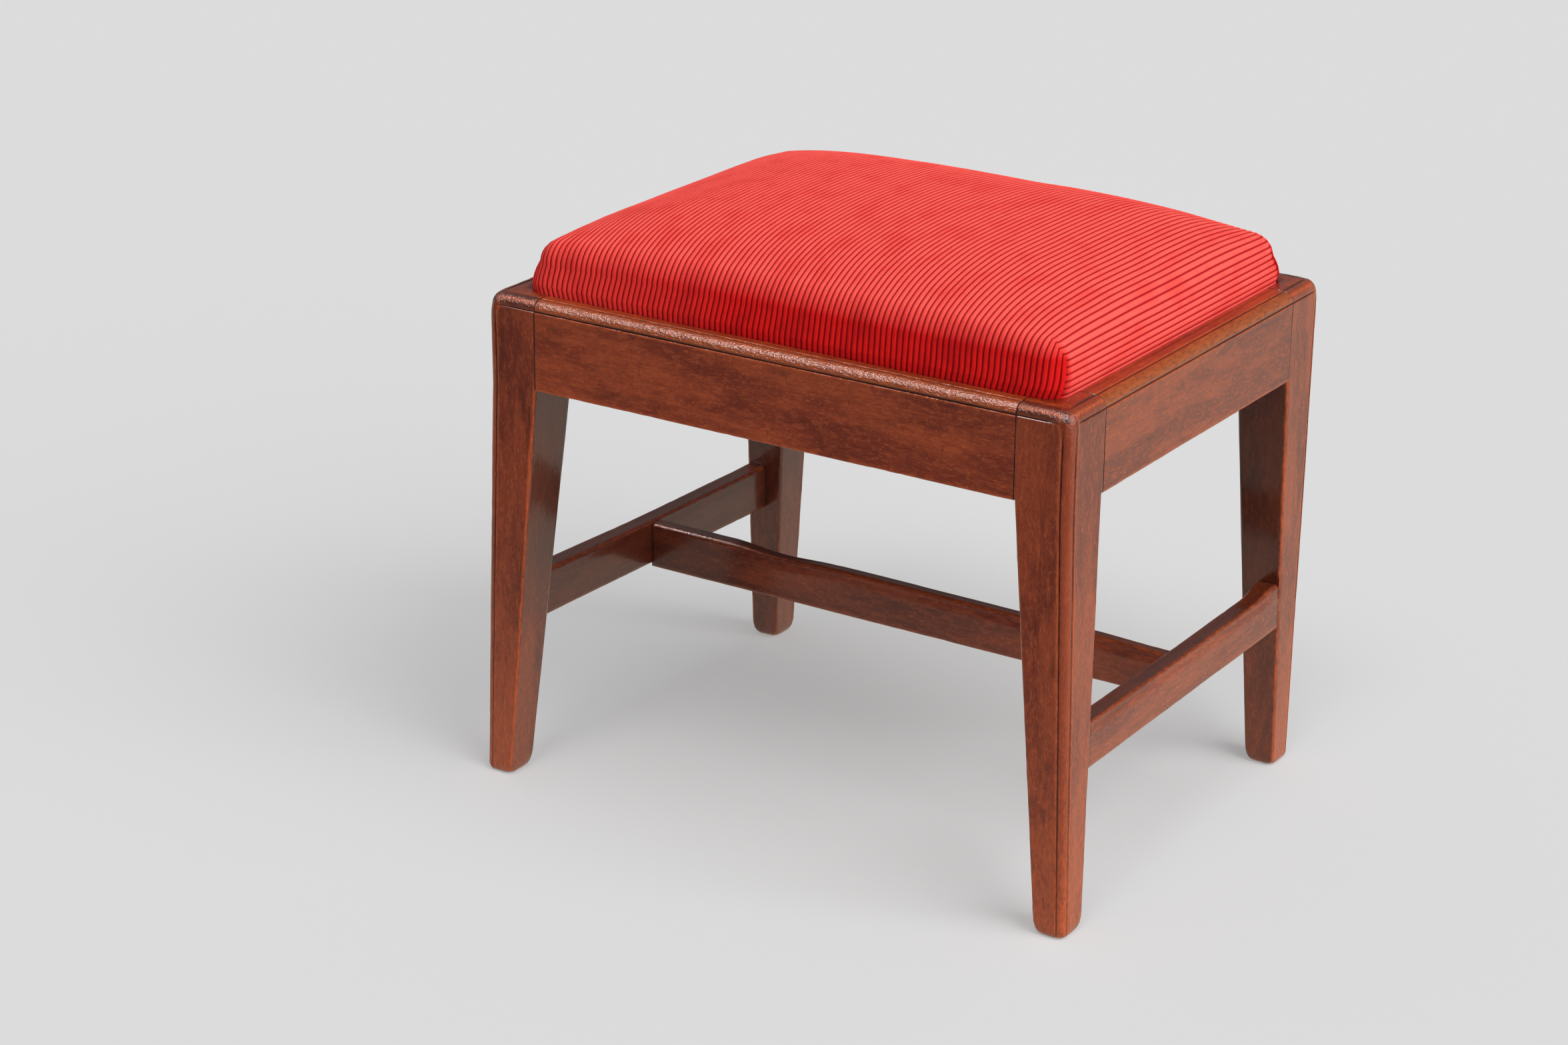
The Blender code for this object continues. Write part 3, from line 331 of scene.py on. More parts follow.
# %% Planing and scratching
EASED_EDGE = 0.7 * MM
RAIL_BEAD = 5.0 * MM
LEG_BEAD = 4.4 * MM
FOOT_BEAD = 3.5 * MM
QUIRK_WIDTH = 0.9 * MM
QUIRK_DEPTH = 0.75 * MM
QUIRK_ARRIS = 0.14 * MM
QUIRK_FULLNESS = 0.7
END_PULL = 0.96
BEAD_DROP = 0.2 * MM
BEAD_LINES = 5
WEAR_REACH = 3.2 * MM
WEAR_BESIDE = 2.4 * MM
BEAD_WEAR = 0.45
TOUCH = 1e-6


def clamp(share):
    """A share, kept between 0 and 1."""
    return min(1, max(0, share))


def fade(distance, reach):
    """1 at no distance, falling to 0 at the reach and beyond it."""
    return max(0, 1 - distance / reach)


def planed_block(low, high):
    """A square-edged block between two corners."""
    low, high = Vector(low), Vector(high)
    bm = bmesh.new()
    place = Matrix.Translation((low + high) / 2) @ Matrix.Diagonal((*(high - low), 1))
    bmesh.ops.create_cube(bm, size=1, matrix=place)
    return bm


def run_lines(bm, axis, places):
    """Run a line of edges right round the block at each place along an axis."""
    for place in places:
        point, normal = Vector(), Vector()
        point[axis] = place
        normal[axis] = 1
        bmesh.ops.bisect_plane(bm, geom=bm.verts[:] + bm.edges[:] + bm.faces[:], dist=TOUCH, plane_co=point,
                               plane_no=normal)


def ease(bm, wanted, radius=EASED_EDGE, segments=2):
    """Round the edges that a test picks, as sandpaper does."""
    edges = [edge for edge in bm.edges if wanted(edge.verts[0].co, edge.verts[1].co)]
    bmesh.ops.bevel(bm, geom=edges, offset=radius, segments=segments, affect="EDGES", profile=0.5,
                    material=-1)


def divide_along(bm, axis, spacing):
    """Divide every edge that runs along an axis, so that the block can be shaped along its length."""
    spans = {}
    for edge in bm.edges:
        step = edge.verts[1].co - edge.verts[0].co
        if abs(step[axis]) > spacing * 1.5 and step.length < abs(step[axis]) * 1.01:
            spans.setdefault(round(abs(step[axis]) / MM, 1), []).append(edge)
    for length, edges in spans.items():
        cuts = max(1, round(length * MM / spacing) - 1)
        bmesh.ops.subdivide_edges(bm, edges=edges, cuts=cuts, use_grid_fill=True)


def bead_places(width):
    """Distances from the edge at which the scratched moulding, and the wear beside it, need a line."""
    bead = [width * step / BEAD_LINES for step in range(1, BEAD_LINES + 1)]
    quirk = [width + QUIRK_WIDTH * share for share in (0.25, 0.5, 0.75, 1)]
    return bead + quirk + [width + QUIRK_WIDTH + beside * WEAR_BESIDE for beside in (0.2, 1)]


def scratch(first, second, width, quirk=1.0):
    """Press a point, given by its distances inward from the edge's two faces, onto the bead's profile."""
    along, into = max(first, second), min(first, second)
    radius = width - BEAD_DROP
    if into > TOUCH and along < width - TOUCH:
        # A point of an end face: it has to stay just behind the bead.
        pull = min(1, END_PULL * radius / math.hypot(width - first, width - second))
        return width - (width - first) * pull, width - (width - second) * pull
    if into > TOUCH or along > width + QUIRK_WIDTH + TOUCH:
        return first, second
    if along > width:
        share = min(1, (along - width) / QUIRK_WIDTH)
        near = quirk * max(QUIRK_ARRIS * share, QUIRK_DEPTH * math.sin(math.pi * share) ** QUIRK_FULLNESS)
        far = along
    else:
        angle = math.radians(45) * (1 - along / width)
        near, far = width - radius * math.cos(angle), width - radius * math.sin(angle)
    return (far, near) if first >= second else (near, far)


print("bead: lines", [round(place / MM, 1) for place in bead_places(RAIL_BEAD)], "mm from the edge")

# %% Weathering and finishing
# Waves in the surface: their size and their height.
SLOW_WAVES = (38 * MM, 0.13 * MM)
FINE_WAVES = (7 * MM, 0.05 * MM)
CHIP_SIZE = 5 * MM
CHIP_DEPTH = 0.22 * MM * 1.6
CHIP_START = 0.12
print("waves", round(SLOW_WAVES[1] / MM, 2), "mm high, chips up to", round(CHIP_DEPTH / MM, 2), "mm deep")


def paint(bm, *names):
    """The layers of numbers of these names on the vertices."""
    layers = bm.verts.layers.float
    return [layers.get(name) or layers.new(name) for name in names]


def weather(bm, seed):
    """Move every vertex along its normal: slow waves everywhere, chips and rubbing where the edges are."""
    wear, bead = paint(bm, "wear", "bead")
    bm.normal_update()
    moves = []
    for vert in bm.verts:
        spot = vert.co + Vector((seed, seed * 0.3, -seed))
        waves = sum(noise.noise(spot / size) * height for size, height in (SLOW_WAVES, FINE_WAVES))
        chip = max(0, noise.noise(spot / CHIP_SIZE) - CHIP_START) * CHIP_DEPTH
        moves.append(vert.normal * (waves - chip * max(vert[wear], vert[bead])))
    for vert, move in zip(bm.verts, moves):
        vert.co += move


def finish_piece(name, bm, body, material, replaced):
    """Make the piece, smooth-shaded, riding on its body and standing for its CAD nodes."""
    bmesh.ops.recalc_face_normals(bm, faces=bm.faces)
    for face in bm.faces:
        face.smooth = True
    mesh = bpy.data.meshes.new(name)
    bm.to_mesh(mesh)
    bm.free()
    mesh.materials.append(material)
    obj = put_in_scene(name, mesh)
    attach(obj, body)
    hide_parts(*replaced)
    print(name, len(mesh.polygons), "faces")
    return obj


def finish_polished(name, bm, grain, offset, bead_colour=DARKEST_WOOD, top_colour=DARKEST_WOOD):
    """Finish a piece of the frame in mahogany of its own."""
    material = mahogany("mahogany_" + name, grain, offset, bead_colour, top_colour)
    finish_piece("planed_" + name, bm, "frame", material, [name])


# %% [markdown]
# The stool's sizes, as the frame has them. The seat rails are flush with the legs, and each carries the
# seat on a ledge 13 mm below its top.

# %% Sizes shared by the frame's pieces
CENTRE_X = 3 * MM
HALF_LENGTH = 163 * MM
HALF_DEPTH = 127 * MM
RAIL_TOP = 260 * MM
RAIL_BOTTOM = 214 * MM
LEDGE = 247 * MM
RAIL_THICKNESS = 24 * MM
END_LAND = 14 * MM
SIDE_LAND = 11.5 * MM
LEG_WIDTH_X = 28.5 * MM
LEG_WIDTH_Y = 31 * MM
FOOT_WIDTH_X = 16 * MM
FOOT_WIDTH_Y = 18 * MM
JOINT_GAP = 0.3 * MM
LINE_SPACING = 3 * MM
print("rails:", round(2 * HALF_LENGTH / MM), "by", round(2 * HALF_DEPTH / MM), "mm, their top at",
      round(RAIL_TOP / MM), "mm")

# %% [markdown]
# Seat rails. A rail is a block up to the ledge, with its outer strip drawn up to form the land and the
# rebate. It is drawn once along X, with its outer face at 0, and then turned to its side of the stool.

# %% Seat rails
JOINT_DIRT = 0.9
RAIL_SIDE_WEAR = 0.8
# Lines round a rail, in millimetres: up from its lower edge, and in from each end.
RAIL_FACE_LINES = (1.6, 4, 10, 18, 26)
RAIL_END_LINES = (0.4, 1, 2)


def raise_land(bm, on_land):
    """Draw the faces of the ledge that a test picks up to the rails' top."""
    land = [face for face in bm.faces if face.normal.z > 0.9 and on_land(face.calc_center_median())]
    raised = bmesh.ops.extrude_face_region(bm, geom=land)["geom"]
    top = [item for item in raised if isinstance(item, bmesh.types.BMVert)]
    bmesh.ops.delete(bm, geom=land, context="FACES_ONLY")
    bmesh.ops.translate(bm, verts=top, vec=(0, 0, RAIL_TOP - LEDGE))


def rail_mesh(half_span, land):
    """A rail along X with its outer face at y = 0 and its inner face at y = its thickness."""
    bm = planed_block((-half_span, 0, RAIL_BOTTOM), (half_span, RAIL_THICKNESS, LEDGE))
    run_lines(bm, 1, [land])
    raise_land(bm, lambda centre: centre.y < land)

    def plain_arris(a, b):
        at_rim = a.z < RAIL_BOTTOM + TOUCH or a.z > LEDGE + TOUCH
        return abs(a.x - b.x) > half_span and at_rim and not (a.y < TOUCH and a.z > LEDGE)

    ease(bm, plain_arris)
    run_lines(bm, 1, bead_places(RAIL_BEAD))
    run_lines(bm, 2, [RAIL_TOP - place for place in bead_places(RAIL_BEAD)])
    run_lines(bm, 2, [RAIL_BOTTOM + place * MM for place in RAIL_FACE_LINES])
    run_lines(bm, 0, [side * (half_span - place * MM) for side in (-1, 1) for place in RAIL_END_LINES])
    divide_along(bm, 0, LINE_SPACING)

    wear, quirk, bead = paint(bm, "wear", "quirk", "bead")
    for vert in bm.verts:
        out, down = vert.co.y, RAIL_TOP - vert.co.z
        faces = sorted((out, RAIL_THICKNESS - out, down, vert.co.z - RAIL_BOTTOM))
        nearest = faces[1] if faces[0] < EASED_EDGE * 1.1 else WEAR_REACH
        vert[wear] = fade(nearest, WEAR_REACH)
        along = max(out, down)
        past = along - RAIL_BEAD - QUIRK_WIDTH
        if min(out, down) < TOUCH and 0 < past < WEAR_BESIDE:
            vert[wear] = RAIL_SIDE_WEAR * (1 - past / WEAR_BESIDE)
        if min(out, down) < TOUCH and along < RAIL_BEAD + QUIRK_WIDTH + TOUCH:
            vert[bead] = 1 if along < RAIL_BEAD - TOUCH else 0
            vert[quirk] = 1 if RAIL_BEAD + TOUCH < along < RAIL_BEAD + QUIRK_WIDTH else 0
            vert[wear] *= 1 if along > RAIL_BEAD else BEAD_WEAR
        vert.co.y, down = scratch(out, down, RAIL_BEAD)
        vert.co.z = RAIL_TOP - down
        if half_span - abs(vert.co.x) < JOINT_GAP:
            vert[quirk] = JOINT_DIRT
    return bm


def seat_rail(name, half_span, land, outer_point, angle, grain, offset, bead_colour):
    """Make a rail, turn its outer face outwards and weather it."""
    bm = rail_mesh(half_span, land)
    place = Matrix.Translation(outer_point) @ Matrix.Rotation(math.radians(angle), 4, "Z")
    bmesh.ops.transform(bm, matrix=place, verts=bm.verts)
    weather(bm, offset)
    finish_polished(name, bm, grain, offset, bead_colour, bead_colour)


LONG_SPAN = HALF_LENGTH - LEG_WIDTH_X - JOINT_GAP
SHORT_SPAN = HALF_DEPTH - LEG_WIDTH_Y - JOINT_GAP
seat_rail("rail_front", LONG_SPAN, SIDE_LAND, (CENTRE_X, -HALF_DEPTH, 0), 0, "x", 0.31, "#94441A")
seat_rail("rail_back", LONG_SPAN, SIDE_LAND, (CENTRE_X, HALF_DEPTH, 0), 180, "x", 0.74, "#7E3416")
seat_rail("rail_right", SHORT_SPAN, END_LAND, (CENTRE_X + HALF_LENGTH, 0, 0), 90, "y", 1.13, "#A04C1A")
seat_rail("rail_left", SHORT_SPAN, END_LAND, (CENTRE_X - HALF_LENGTH, 0, 0), -90, "y", 1.57, "#A04A1A")

# %% [markdown]
# Legs. Each is drawn with its outer corner at the origin, X and Y running inwards, so that one function
# serves all four. The bead runs down the outer corner and along both top edges, and the three meet in a
# corner that is worn round. Below the rails the two inner faces taper, and each foot has crept a little
# with age: the front left one most of all.

# %% Legs, before their taper
WORN_CORNER = 6.5 * MM
CORNER_SOFTENING = 11 * MM
CORNER_START = 3 * MM
CORNER_RISE = 6 * MM
TOP_FADE = 12 * MM
EDGE_ROUNDING = 1.8 * MM
FOOT_ROUNDING = 3.5 * MM
WELL_CORNER = 11 * MM
# Painted shade on the legs' inner faces below the rails: this share of it up to the first height, rising to
# full over the next.
SHADE_LOW = 80 * MM
SHADE_RISE = 50 * MM
SHADE_AT_FOOT = 0.4
JOINT_MARGIN = 0.4 * MM
INNER_MARGIN = 0.3 * MM
LEG_BEAD_WEAR = 0.3
QUIRK_DIRT_AT_FOOT = 0.55
# Lines round a leg: millimetres before its inner faces, and shares of the foot's rounding.
LEG_INNER_LINES = (12, 5, 2.6, 0.5)
FOOT_LINES = (0.08, 0.25, 0.5, 1)
# The bead number at which only the first of the bead's two colours is laid.
FIRST_BEAD_COLOUR = 0.5
# How many times the worn corner is smoothed.
CORNER_TURNS = 4
print("legs:", round(LEG_WIDTH_X / MM, 1), "by", round(LEG_WIDTH_Y / MM, 1), "mm under the seat")


def leg_mesh():
    """A leg with its outer corner at the origin, before it is scratched."""
    bm = planed_block((0, 0, 0), (LEG_WIDTH_X, LEG_WIDTH_Y, LEDGE))
    run_lines(bm, 0, [END_LAND])
    run_lines(bm, 1, [SIDE_LAND])
    raise_land(bm, lambda centre: centre.x < END_LAND or centre.y < SIDE_LAND)
    well = Vector((END_LAND, SIDE_LAND))
    ease(bm, lambda a, b: max((a.xy - well).length, (b.xy - well).length) < TOUCH
         and min(a.z, b.z) > LEDGE - TOUCH, WELL_CORNER, 8)
    run_lines(bm, 2, [RAIL_BOTTOM])
    ease(bm, lambda a, b: (a - b).xy.length < TOUCH and max(a.z, b.z) < RAIL_BOTTOM + TOUCH
         and (a.x > LEG_WIDTH_X - TOUCH or a.y > LEG_WIDTH_Y - TOUCH), EDGE_ROUNDING, 3)
    for axis, width in enumerate((LEG_WIDTH_X, LEG_WIDTH_Y)):
        run_lines(bm, axis, bead_places(LEG_BEAD) + [width - place * MM for place in LEG_INNER_LINES])
    run_lines(bm, 2, [RAIL_TOP - place for place in bead_places(RAIL_BEAD)])
    run_lines(bm, 2, [FOOT_ROUNDING * share for share in FOOT_LINES])
    divide_along(bm, 2, LINE_SPACING)
    return bm


def scratch_leg(bm):
    """Scratch the bead on the leg's outer corner and on its two top edges, and wear their meeting round."""
    wear, quirk, bead, shade = paint(bm, "wear", "quirk", "bead", "shade")
    for vert in bm.verts:
        across, inward, down = vert.co.x, vert.co.y, RAIL_TOP - vert.co.z
        above_rails = vert.co.z > RAIL_BOTTOM + TOUCH
        inner = min(LEG_WIDTH_X - across, LEG_WIDTH_Y - inward)
        distances = sorted((across, inward, down, WEAR_REACH if above_rails else inner, vert.co.z))
        vert[wear] = fade(distances[1], WEAR_REACH) if distances[0] < EASED_EDGE else 0
        if above_rails and inner < JOINT_MARGIN:
            vert[quirk] = JOINT_DIRT
        # Painted shade on the inner faces below the rails, lighter towards the foot.
        if not above_rails and inner < INNER_MARGIN:
            risen = clamp((vert.co.z - SHADE_LOW) / SHADE_RISE)
            vert[shade] = SHADE_AT_FOOT + (1 - SHADE_AT_FOOT) * risen
        on_side = min(across, inward) < TOUCH
        along = max(across, inward)
        past = along - LEG_BEAD - QUIRK_WIDTH
        if on_side and 0 < past < WEAR_BESIDE:
            vert[wear] = max(vert[wear], 1 - past / WEAR_BESIDE)
        if on_side and along < LEG_BEAD + QUIRK_WIDTH + TOUCH:
            deep = clamp((down - RAIL_BEAD - QUIRK_WIDTH) / TOP_FADE)
            sunk = LEG_BEAD + TOUCH < along < LEG_BEAD + QUIRK_WIDTH - TOUCH
            vert[bead] = FIRST_BEAD_COLOUR if along < LEG_BEAD - TOUCH else 0
            dirt = QUIRK_DIRT_AT_FOOT + (1 - QUIRK_DIRT_AT_FOOT) * vert.co.z / RAIL_TOP
            vert[quirk] = deep * dirt if sunk else 0
            vert[wear] = LEG_BEAD_WEAR
            across, inward = scratch(across, inward, LEG_BEAD, deep)
        rim = 0 if on_side else min(across, inward)
        from_top = down if on_side else rim
        if from_top < RAIL_BEAD + QUIRK_WIDTH and (on_side or down < TOUCH):
            near_corner = clamp((along - CORNER_START) / CORNER_RISE)
            if from_top < RAIL_BEAD - TOUCH:
                vert[bead] = 1 if inward < across else FIRST_BEAD_COLOUR
            vert[quirk] = near_corner if from_top > RAIL_BEAD + TOUCH else 0
            least, down = scratch(rim, down if on_side else 0, RAIL_BEAD, near_corner)
            across, inward = max(across, least), max(inward, least)
        elif inner < TOUCH and LEG_WIDTH_X - across < TOUCH:
            inward, down = scratch(inward, down, RAIL_BEAD)
        elif inner < TOUCH:
            across, down = scratch(across, down, RAIL_BEAD)
        vert.co = (across, inward, RAIL_TOP - down)
        if max(across, inward, down) < WORN_CORNER:
            heart = Vector((WORN_CORNER, WORN_CORNER, RAIL_TOP - WORN_CORNER))
            outward = vert.co - heart
            vert.co = heart + outward * min(1, WORN_CORNER / outward.length)
    corner = [v for v in bm.verts if (v.co - Vector((0, 0, RAIL_TOP))).length < CORNER_SOFTENING]
    for turn_number in range(CORNER_TURNS):
        bmesh.ops.smooth_vert(bm, verts=corner, factor=0.5, use_axis_x=True, use_axis_y=True,
                              use_axis_z=True)


# %% Legs
FOOT_CORNER = 5 * MM
FOOT_CORNER_HEIGHT = 9 * MM
# How much lighter the legs are painted towards the foot: partly rubbed wear, partly painted light thrown
# back from the floor.
FOOT_WEAR_AND_LIGHT = 0.8
# Painted shade on the legs' faces that look to the front or back.
FRONT_SHADE = 0.3
# Each leg's sides, how far its foot has crept out along X and in along Y, and its place in the board.
CREEP = {
    "leg_front_left": (-1, -1, 10 * MM, 2.4 * MM, 2.1),
    "leg_front_right": (1, -1, 4.2 * MM, 2.2 * MM, 2.6),
    "leg_back_right": (1, 1, 0, 3 * MM, 3.2),
    "leg_back_left": (-1, 1, -2 * MM, 5 * MM, 3.9),
}


def taper_share(height):
    """How far down the taper a height lies: 0 at the rails' lower edge, 1 on the floor."""
    return fade(height, RAIL_BOTTOM)


def leg_widths(height):
    """The leg's width and depth at a height."""
    share = taper_share(height)
    return (LEG_WIDTH_X + (FOOT_WIDTH_X - LEG_WIDTH_X) * share,
            LEG_WIDTH_Y + (FOOT_WIDTH_Y - LEG_WIDTH_Y) * share)


def narrowed(inward, share, full, foot):
    """A distance inward from the leg's outer corner, drawn in by the taper, the bead less than the rest."""
    reach = LEG_BEAD + QUIRK_WIDTH
    bead_scale = 1 - (1 - FOOT_BEAD / LEG_BEAD) * share
    if inward <= reach:
        return inward * bead_scale
    width = full + (foot - full) * share
    return reach * bead_scale + (inward - reach) * (width - reach * bead_scale) / (full - reach)


def rounded_foot(across, inward, height):
    """A place of the foot, drawn in where its end and, near the end, its upright edges are worn round."""
    left = max(0, FOOT_ROUNDING - height)
    shrink = FOOT_ROUNDING - math.sqrt(FOOT_ROUNDING ** 2 - left ** 2)
    round_edges = FOOT_CORNER * fade(height, FOOT_CORNER_HEIGHT)
    half_x, half_y = (width / 2 for width in leg_widths(height))
    x, y = across - half_x, inward - half_y
    past_x, past_y = abs(x) - (half_x - round_edges), abs(y) - (half_y - round_edges)
    if past_x > 0 and past_y > 0:
        scale = min(1, round_edges / math.hypot(past_x, past_y))
        x = math.copysign(half_x - round_edges + past_x * scale, x)
        y = math.copysign(half_y - round_edges + past_y * scale, y)
    return half_x + x * (1 - shrink / half_x), half_y + y * (1 - shrink / half_y)


def leg(name):
    """Make one leg: scratch it, taper it, let its foot creep and weather it."""
    side_x, side_y, foot_out, foot_in, offset = CREEP[name]
    bm = leg_mesh()
    scratch_leg(bm)
    front = [vert for vert in bm.verts if abs(vert.co.y) < TOUCH and vert.co.x > LEG_BEAD + QUIRK_WIDTH]
    for vert in bm.verts:
        share = taper_share(vert.co.z)
        across = narrowed(vert.co.x, share, LEG_WIDTH_X, FOOT_WIDTH_X)
        inward = narrowed(vert.co.y, share, LEG_WIDTH_Y, FOOT_WIDTH_Y)
        if vert.co.z < FOOT_CORNER_HEIGHT:
            across, inward = rounded_foot(across, inward, vert.co.z)
        vert.co.x = CENTRE_X + side_x * (HALF_LENGTH + foot_out * share - across)
        vert.co.y = side_y * (HALF_DEPTH - foot_in * share - inward)
    weather(bm, offset)
    wear, shade = paint(bm, "wear", "shade")
    for vert in bm.verts:
        vert.co.z = max(0, vert.co.z)
        # Lighter towards the foot, except where shade is painted: partly rubbed wear, partly painted light
        # from the floor.
        if vert[shade] == 0:
            vert[wear] = max(vert[wear], FOOT_WEAR_AND_LIGHT * taper_share(vert.co.z))
    # Painted shade on those faces: all the way down the left legs, darker towards the top on the right ones.
    for vert in front:
        upper = 1 if side_x < 0 else vert.co.z / RAIL_TOP
        vert[shade] = max(vert[shade], FRONT_SHADE * upper)
    finish_polished(name, bm, "z", offset, "#86381B", "#4C2012")


for leg_name in CREEP:
    leg(leg_name)

# %% [markdown]
# Stretchers. An H of three thin rails ties the legs together low down. Their upper edges are worn round by
# heels, so each is a bevelled block whose top sinks a little along the middle. Their tops, the left
# stretcher and the left end of the middle one are painted darker, as painted shade. They are cut off on
# the slope of the tapered legs.

# %% Stretchers
STRETCHER_DEPTH = 24.5 * MM
SIDE_STRETCHER_THICKNESS = 12 * MM
SIDE_STRETCHER_MIDDLE = 92.05 * MM
STRETCHER_SETBACK = 0.6 * MM
MIDDLE_STRETCHER_THICKNESS = 9 * MM
MIDDLE_STRETCHER_MIDDLE = 90.05 * MM
STRETCHER_EASING = 2.4 * MM
EDGE_LINE = 2.6 * MM
# Painted shade on the stretchers' tops.
TOP_SHADE = 0.95
TOP_WEAR_REACH = 4.5 * MM
LOW_WEAR_REACH = 3 * MM
LOW_WEAR = 0.7
END_DIRT_REACH = 2.2 * MM
END_DIRT = 0.8
# Painted shade on the left stretcher, and on the middle one from its left end up to this share of its
# length.
LEFT_SHADE = 0.85
LEFT_SHADE_REACH = 0.45
PIECE_FIT = 0.15 * MM
# How dirty the wood is at a joint, and how far from it the dirt reaches.
SIDE_JOINT_DIRT = (0.85, 2.5 * MM)
MIDDLE_JOINT_DIRT = (0.6, 1.5 * MM)
# Lines round a stretcher, in millimetres down from its top.
STRETCHER_FACE_LINES = (3, 5, 8, 12, 17, 22)
# How deep heels have worn each top, in millimetres, at shares of the length from the front or left end.
HEEL_WEAR = {
    "stretcher_right": ((0, 1.2), (0.2, 2.2), (0.5, 3.0), (0.84, 2.9), (0.93, 0.2), (1, 0)),
    "stretcher_left": ((0, 0), (0.12, 0.2), (0.5, 1.1), (0.85, 0.7), (1, 0)),
    "stretcher_middle": ((0, 0), (0.18, 0), (0.28, 2.0), (0.38, 0.8), (0.8, 1.4), (1, 2.6)),
}
for name, places in HEEL_WEAR.items():
    print(name, "worn up to", max(depth for place, depth in places), "mm deep")


def leg_corner(leg_name, height):
    """The leg's sharp outer corner, in plan, at a height."""
    side_x, side_y, foot_out, foot_in, offset = CREEP[leg_name]
    share = taper_share(height)
    return side_x * (HALF_LENGTH + foot_out * share), side_y * (HALF_DEPTH - foot_in * share)


def smooth(share):
    """A share that starts and ends gently."""
    return share * share * (3 - 2 * share)


def heel_wear(name, share):
    """How deep the top is worn at a share of the length, smoothly between the given places."""
    places = HEEL_WEAR[name]
    for (start, first), (end, second) in zip(places, places[1:]):
        if share <= end:
            return (first + (second - first) * smooth((share - start) / (end - start))) * MM
    return places[-1][1] * MM


def stretcher_mesh(name, half_length, half_thickness):
    """A stretcher along X about the origin, with worn edges and divided along its length."""
    half_depth = STRETCHER_DEPTH / 2
    corner = Vector((half_length, half_thickness, half_depth))
    bm = planed_block(-corner, corner)
    ease(bm, lambda a, b: abs(a.x - b.x) > half_length and max(a.z, b.z) > 0, STRETCHER_EASING, 4)
    ease(bm, lambda a, b: abs(a.x - b.x) > half_length and max(a.z, b.z) < 0)
    run_lines(bm, 1, [0, half_thickness - EDGE_LINE, EDGE_LINE - half_thickness])
    run_lines(bm, 2, [half_depth - place * MM for place in STRETCHER_FACE_LINES])
    divide_along(bm, 0, LINE_SPACING)
    wear, quirk, shade = paint(bm, "wear", "quirk", "shade")
    for vert in bm.verts:
        down = half_depth - vert.co.z
        side = half_thickness - abs(vert.co.y)
        # Painted shade on the top.
        vert[shade] = TOP_SHADE * fade(down, STRETCHER_EASING)
        low_wear = LOW_WEAR * fade(STRETCHER_DEPTH - down + side, LOW_WEAR_REACH)
        vert[wear] = max(fade(down * 1.4 + side, TOP_WEAR_REACH), low_wear)
        vert[quirk] = END_DIRT * fade(half_length - abs(vert.co.x), END_DIRT_REACH)
        worn = heel_wear(name, (vert.co.x + half_length) / (2 * half_length))
        vert.co.z -= worn * fade(down, STRETCHER_DEPTH)
        if side < STRETCHER_EASING and down < 2 * STRETCHER_EASING:
            vert.co.y -= math.copysign(min(worn, 2 * MM) * 0.5 * (1 - side / STRETCHER_EASING), vert.co.y)
    return bm


def fit_joint(bm, point, outward, dirt, reach, spare=0):
    """Cut a stretcher off, to spare beyond a point, close the cut and dirty the wood beside it."""
    cut = bmesh.ops.bisect_plane(bm, geom=bm.verts[:] + bm.edges[:] + bm.faces[:], dist=TOUCH,
                                 plane_co=point + outward * spare, plane_no=outward, clear_outer=True)
    edges = [item for item in cut["geom_cut"] if isinstance(item, bmesh.types.BMEdge)]
    bmesh.ops.contextual_create(bm, geom=edges)
    [quirk] = paint(bm, "quirk")
    for vert in bm.verts:
        gap = max(0, (point - vert.co).dot(outward))
        vert[quirk] = max(vert[quirk], dirt * fade(gap, reach))


# %% Side stretchers
def side_line(front_leg, back_leg):
    """The ends of a side stretcher's middle line, inside the two legs that it joins."""
    ends = []
    for name in (front_leg, back_leg):
        corner_x, corner_y = leg_corner(name, SIDE_STRETCHER_MIDDLE)
        side_x, side_y = CREEP[name][:2]
        x = corner_x - side_x * (STRETCHER_SETBACK + SIDE_STRETCHER_THICKNESS / 2)
        y = corner_y - side_y * leg_widths(SIDE_STRETCHER_MIDDLE)[1] / 2
        ends.append(Vector((x, y, SIDE_STRETCHER_MIDDLE)))
    return ends


def inner_face(leg_name, height):
    """How far the leg's inner face stands from the stool's middle, along Y, at a height."""
    return abs(leg_corner(leg_name, height)[1]) - leg_widths(height)[1]


def side_stretcher(name, front_leg, back_leg, offset, painted_shade_share):
    """Make a side stretcher between two legs, with a share of painted shade laid over it."""
    ends = side_line(front_leg, back_leg)
    along = ends[1] - ends[0]
    bm = stretcher_mesh(name, along.length / 2, SIDE_STRETCHER_THICKNESS / 2)
    turned = Matrix.Rotation(math.atan2(along.y, along.x), 4, "Z")
    bmesh.ops.transform(bm, matrix=Matrix.Translation((ends[0] + ends[1]) / 2) @ turned, verts=bm.verts)
    low, high = SIDE_STRETCHER_MIDDLE - 1 * MM, SIDE_STRETCHER_MIDDLE + 1 * MM
    for leg_name in (front_leg, back_leg):
        side_y = CREEP[leg_name][1]
        rise = inner_face(leg_name, low) - inner_face(leg_name, high)
        outward = Vector((0, side_y * (high - low), rise)).normalized()
        face_y = side_y * inner_face(leg_name, SIDE_STRETCHER_MIDDLE)
        point = Vector((ends[0].x, face_y, SIDE_STRETCHER_MIDDLE))
        fit_joint(bm, point, outward, *SIDE_JOINT_DIRT, PIECE_FIT)
    weather(bm, offset)
    # Painted shade of the given share, laid over the whole stretcher.
    [shade] = paint(bm, "shade")
    for vert in bm.verts:
        vert.co.x += CENTRE_X
        vert[shade] = max(vert[shade], painted_shade_share)
    finish_polished(name, bm, "y", offset)


side_stretcher("stretcher_right", "leg_front_right", "leg_back_right", 4.4, 0)
side_stretcher("stretcher_left", "leg_front_left", "leg_back_left", 5.1, LEFT_SHADE)

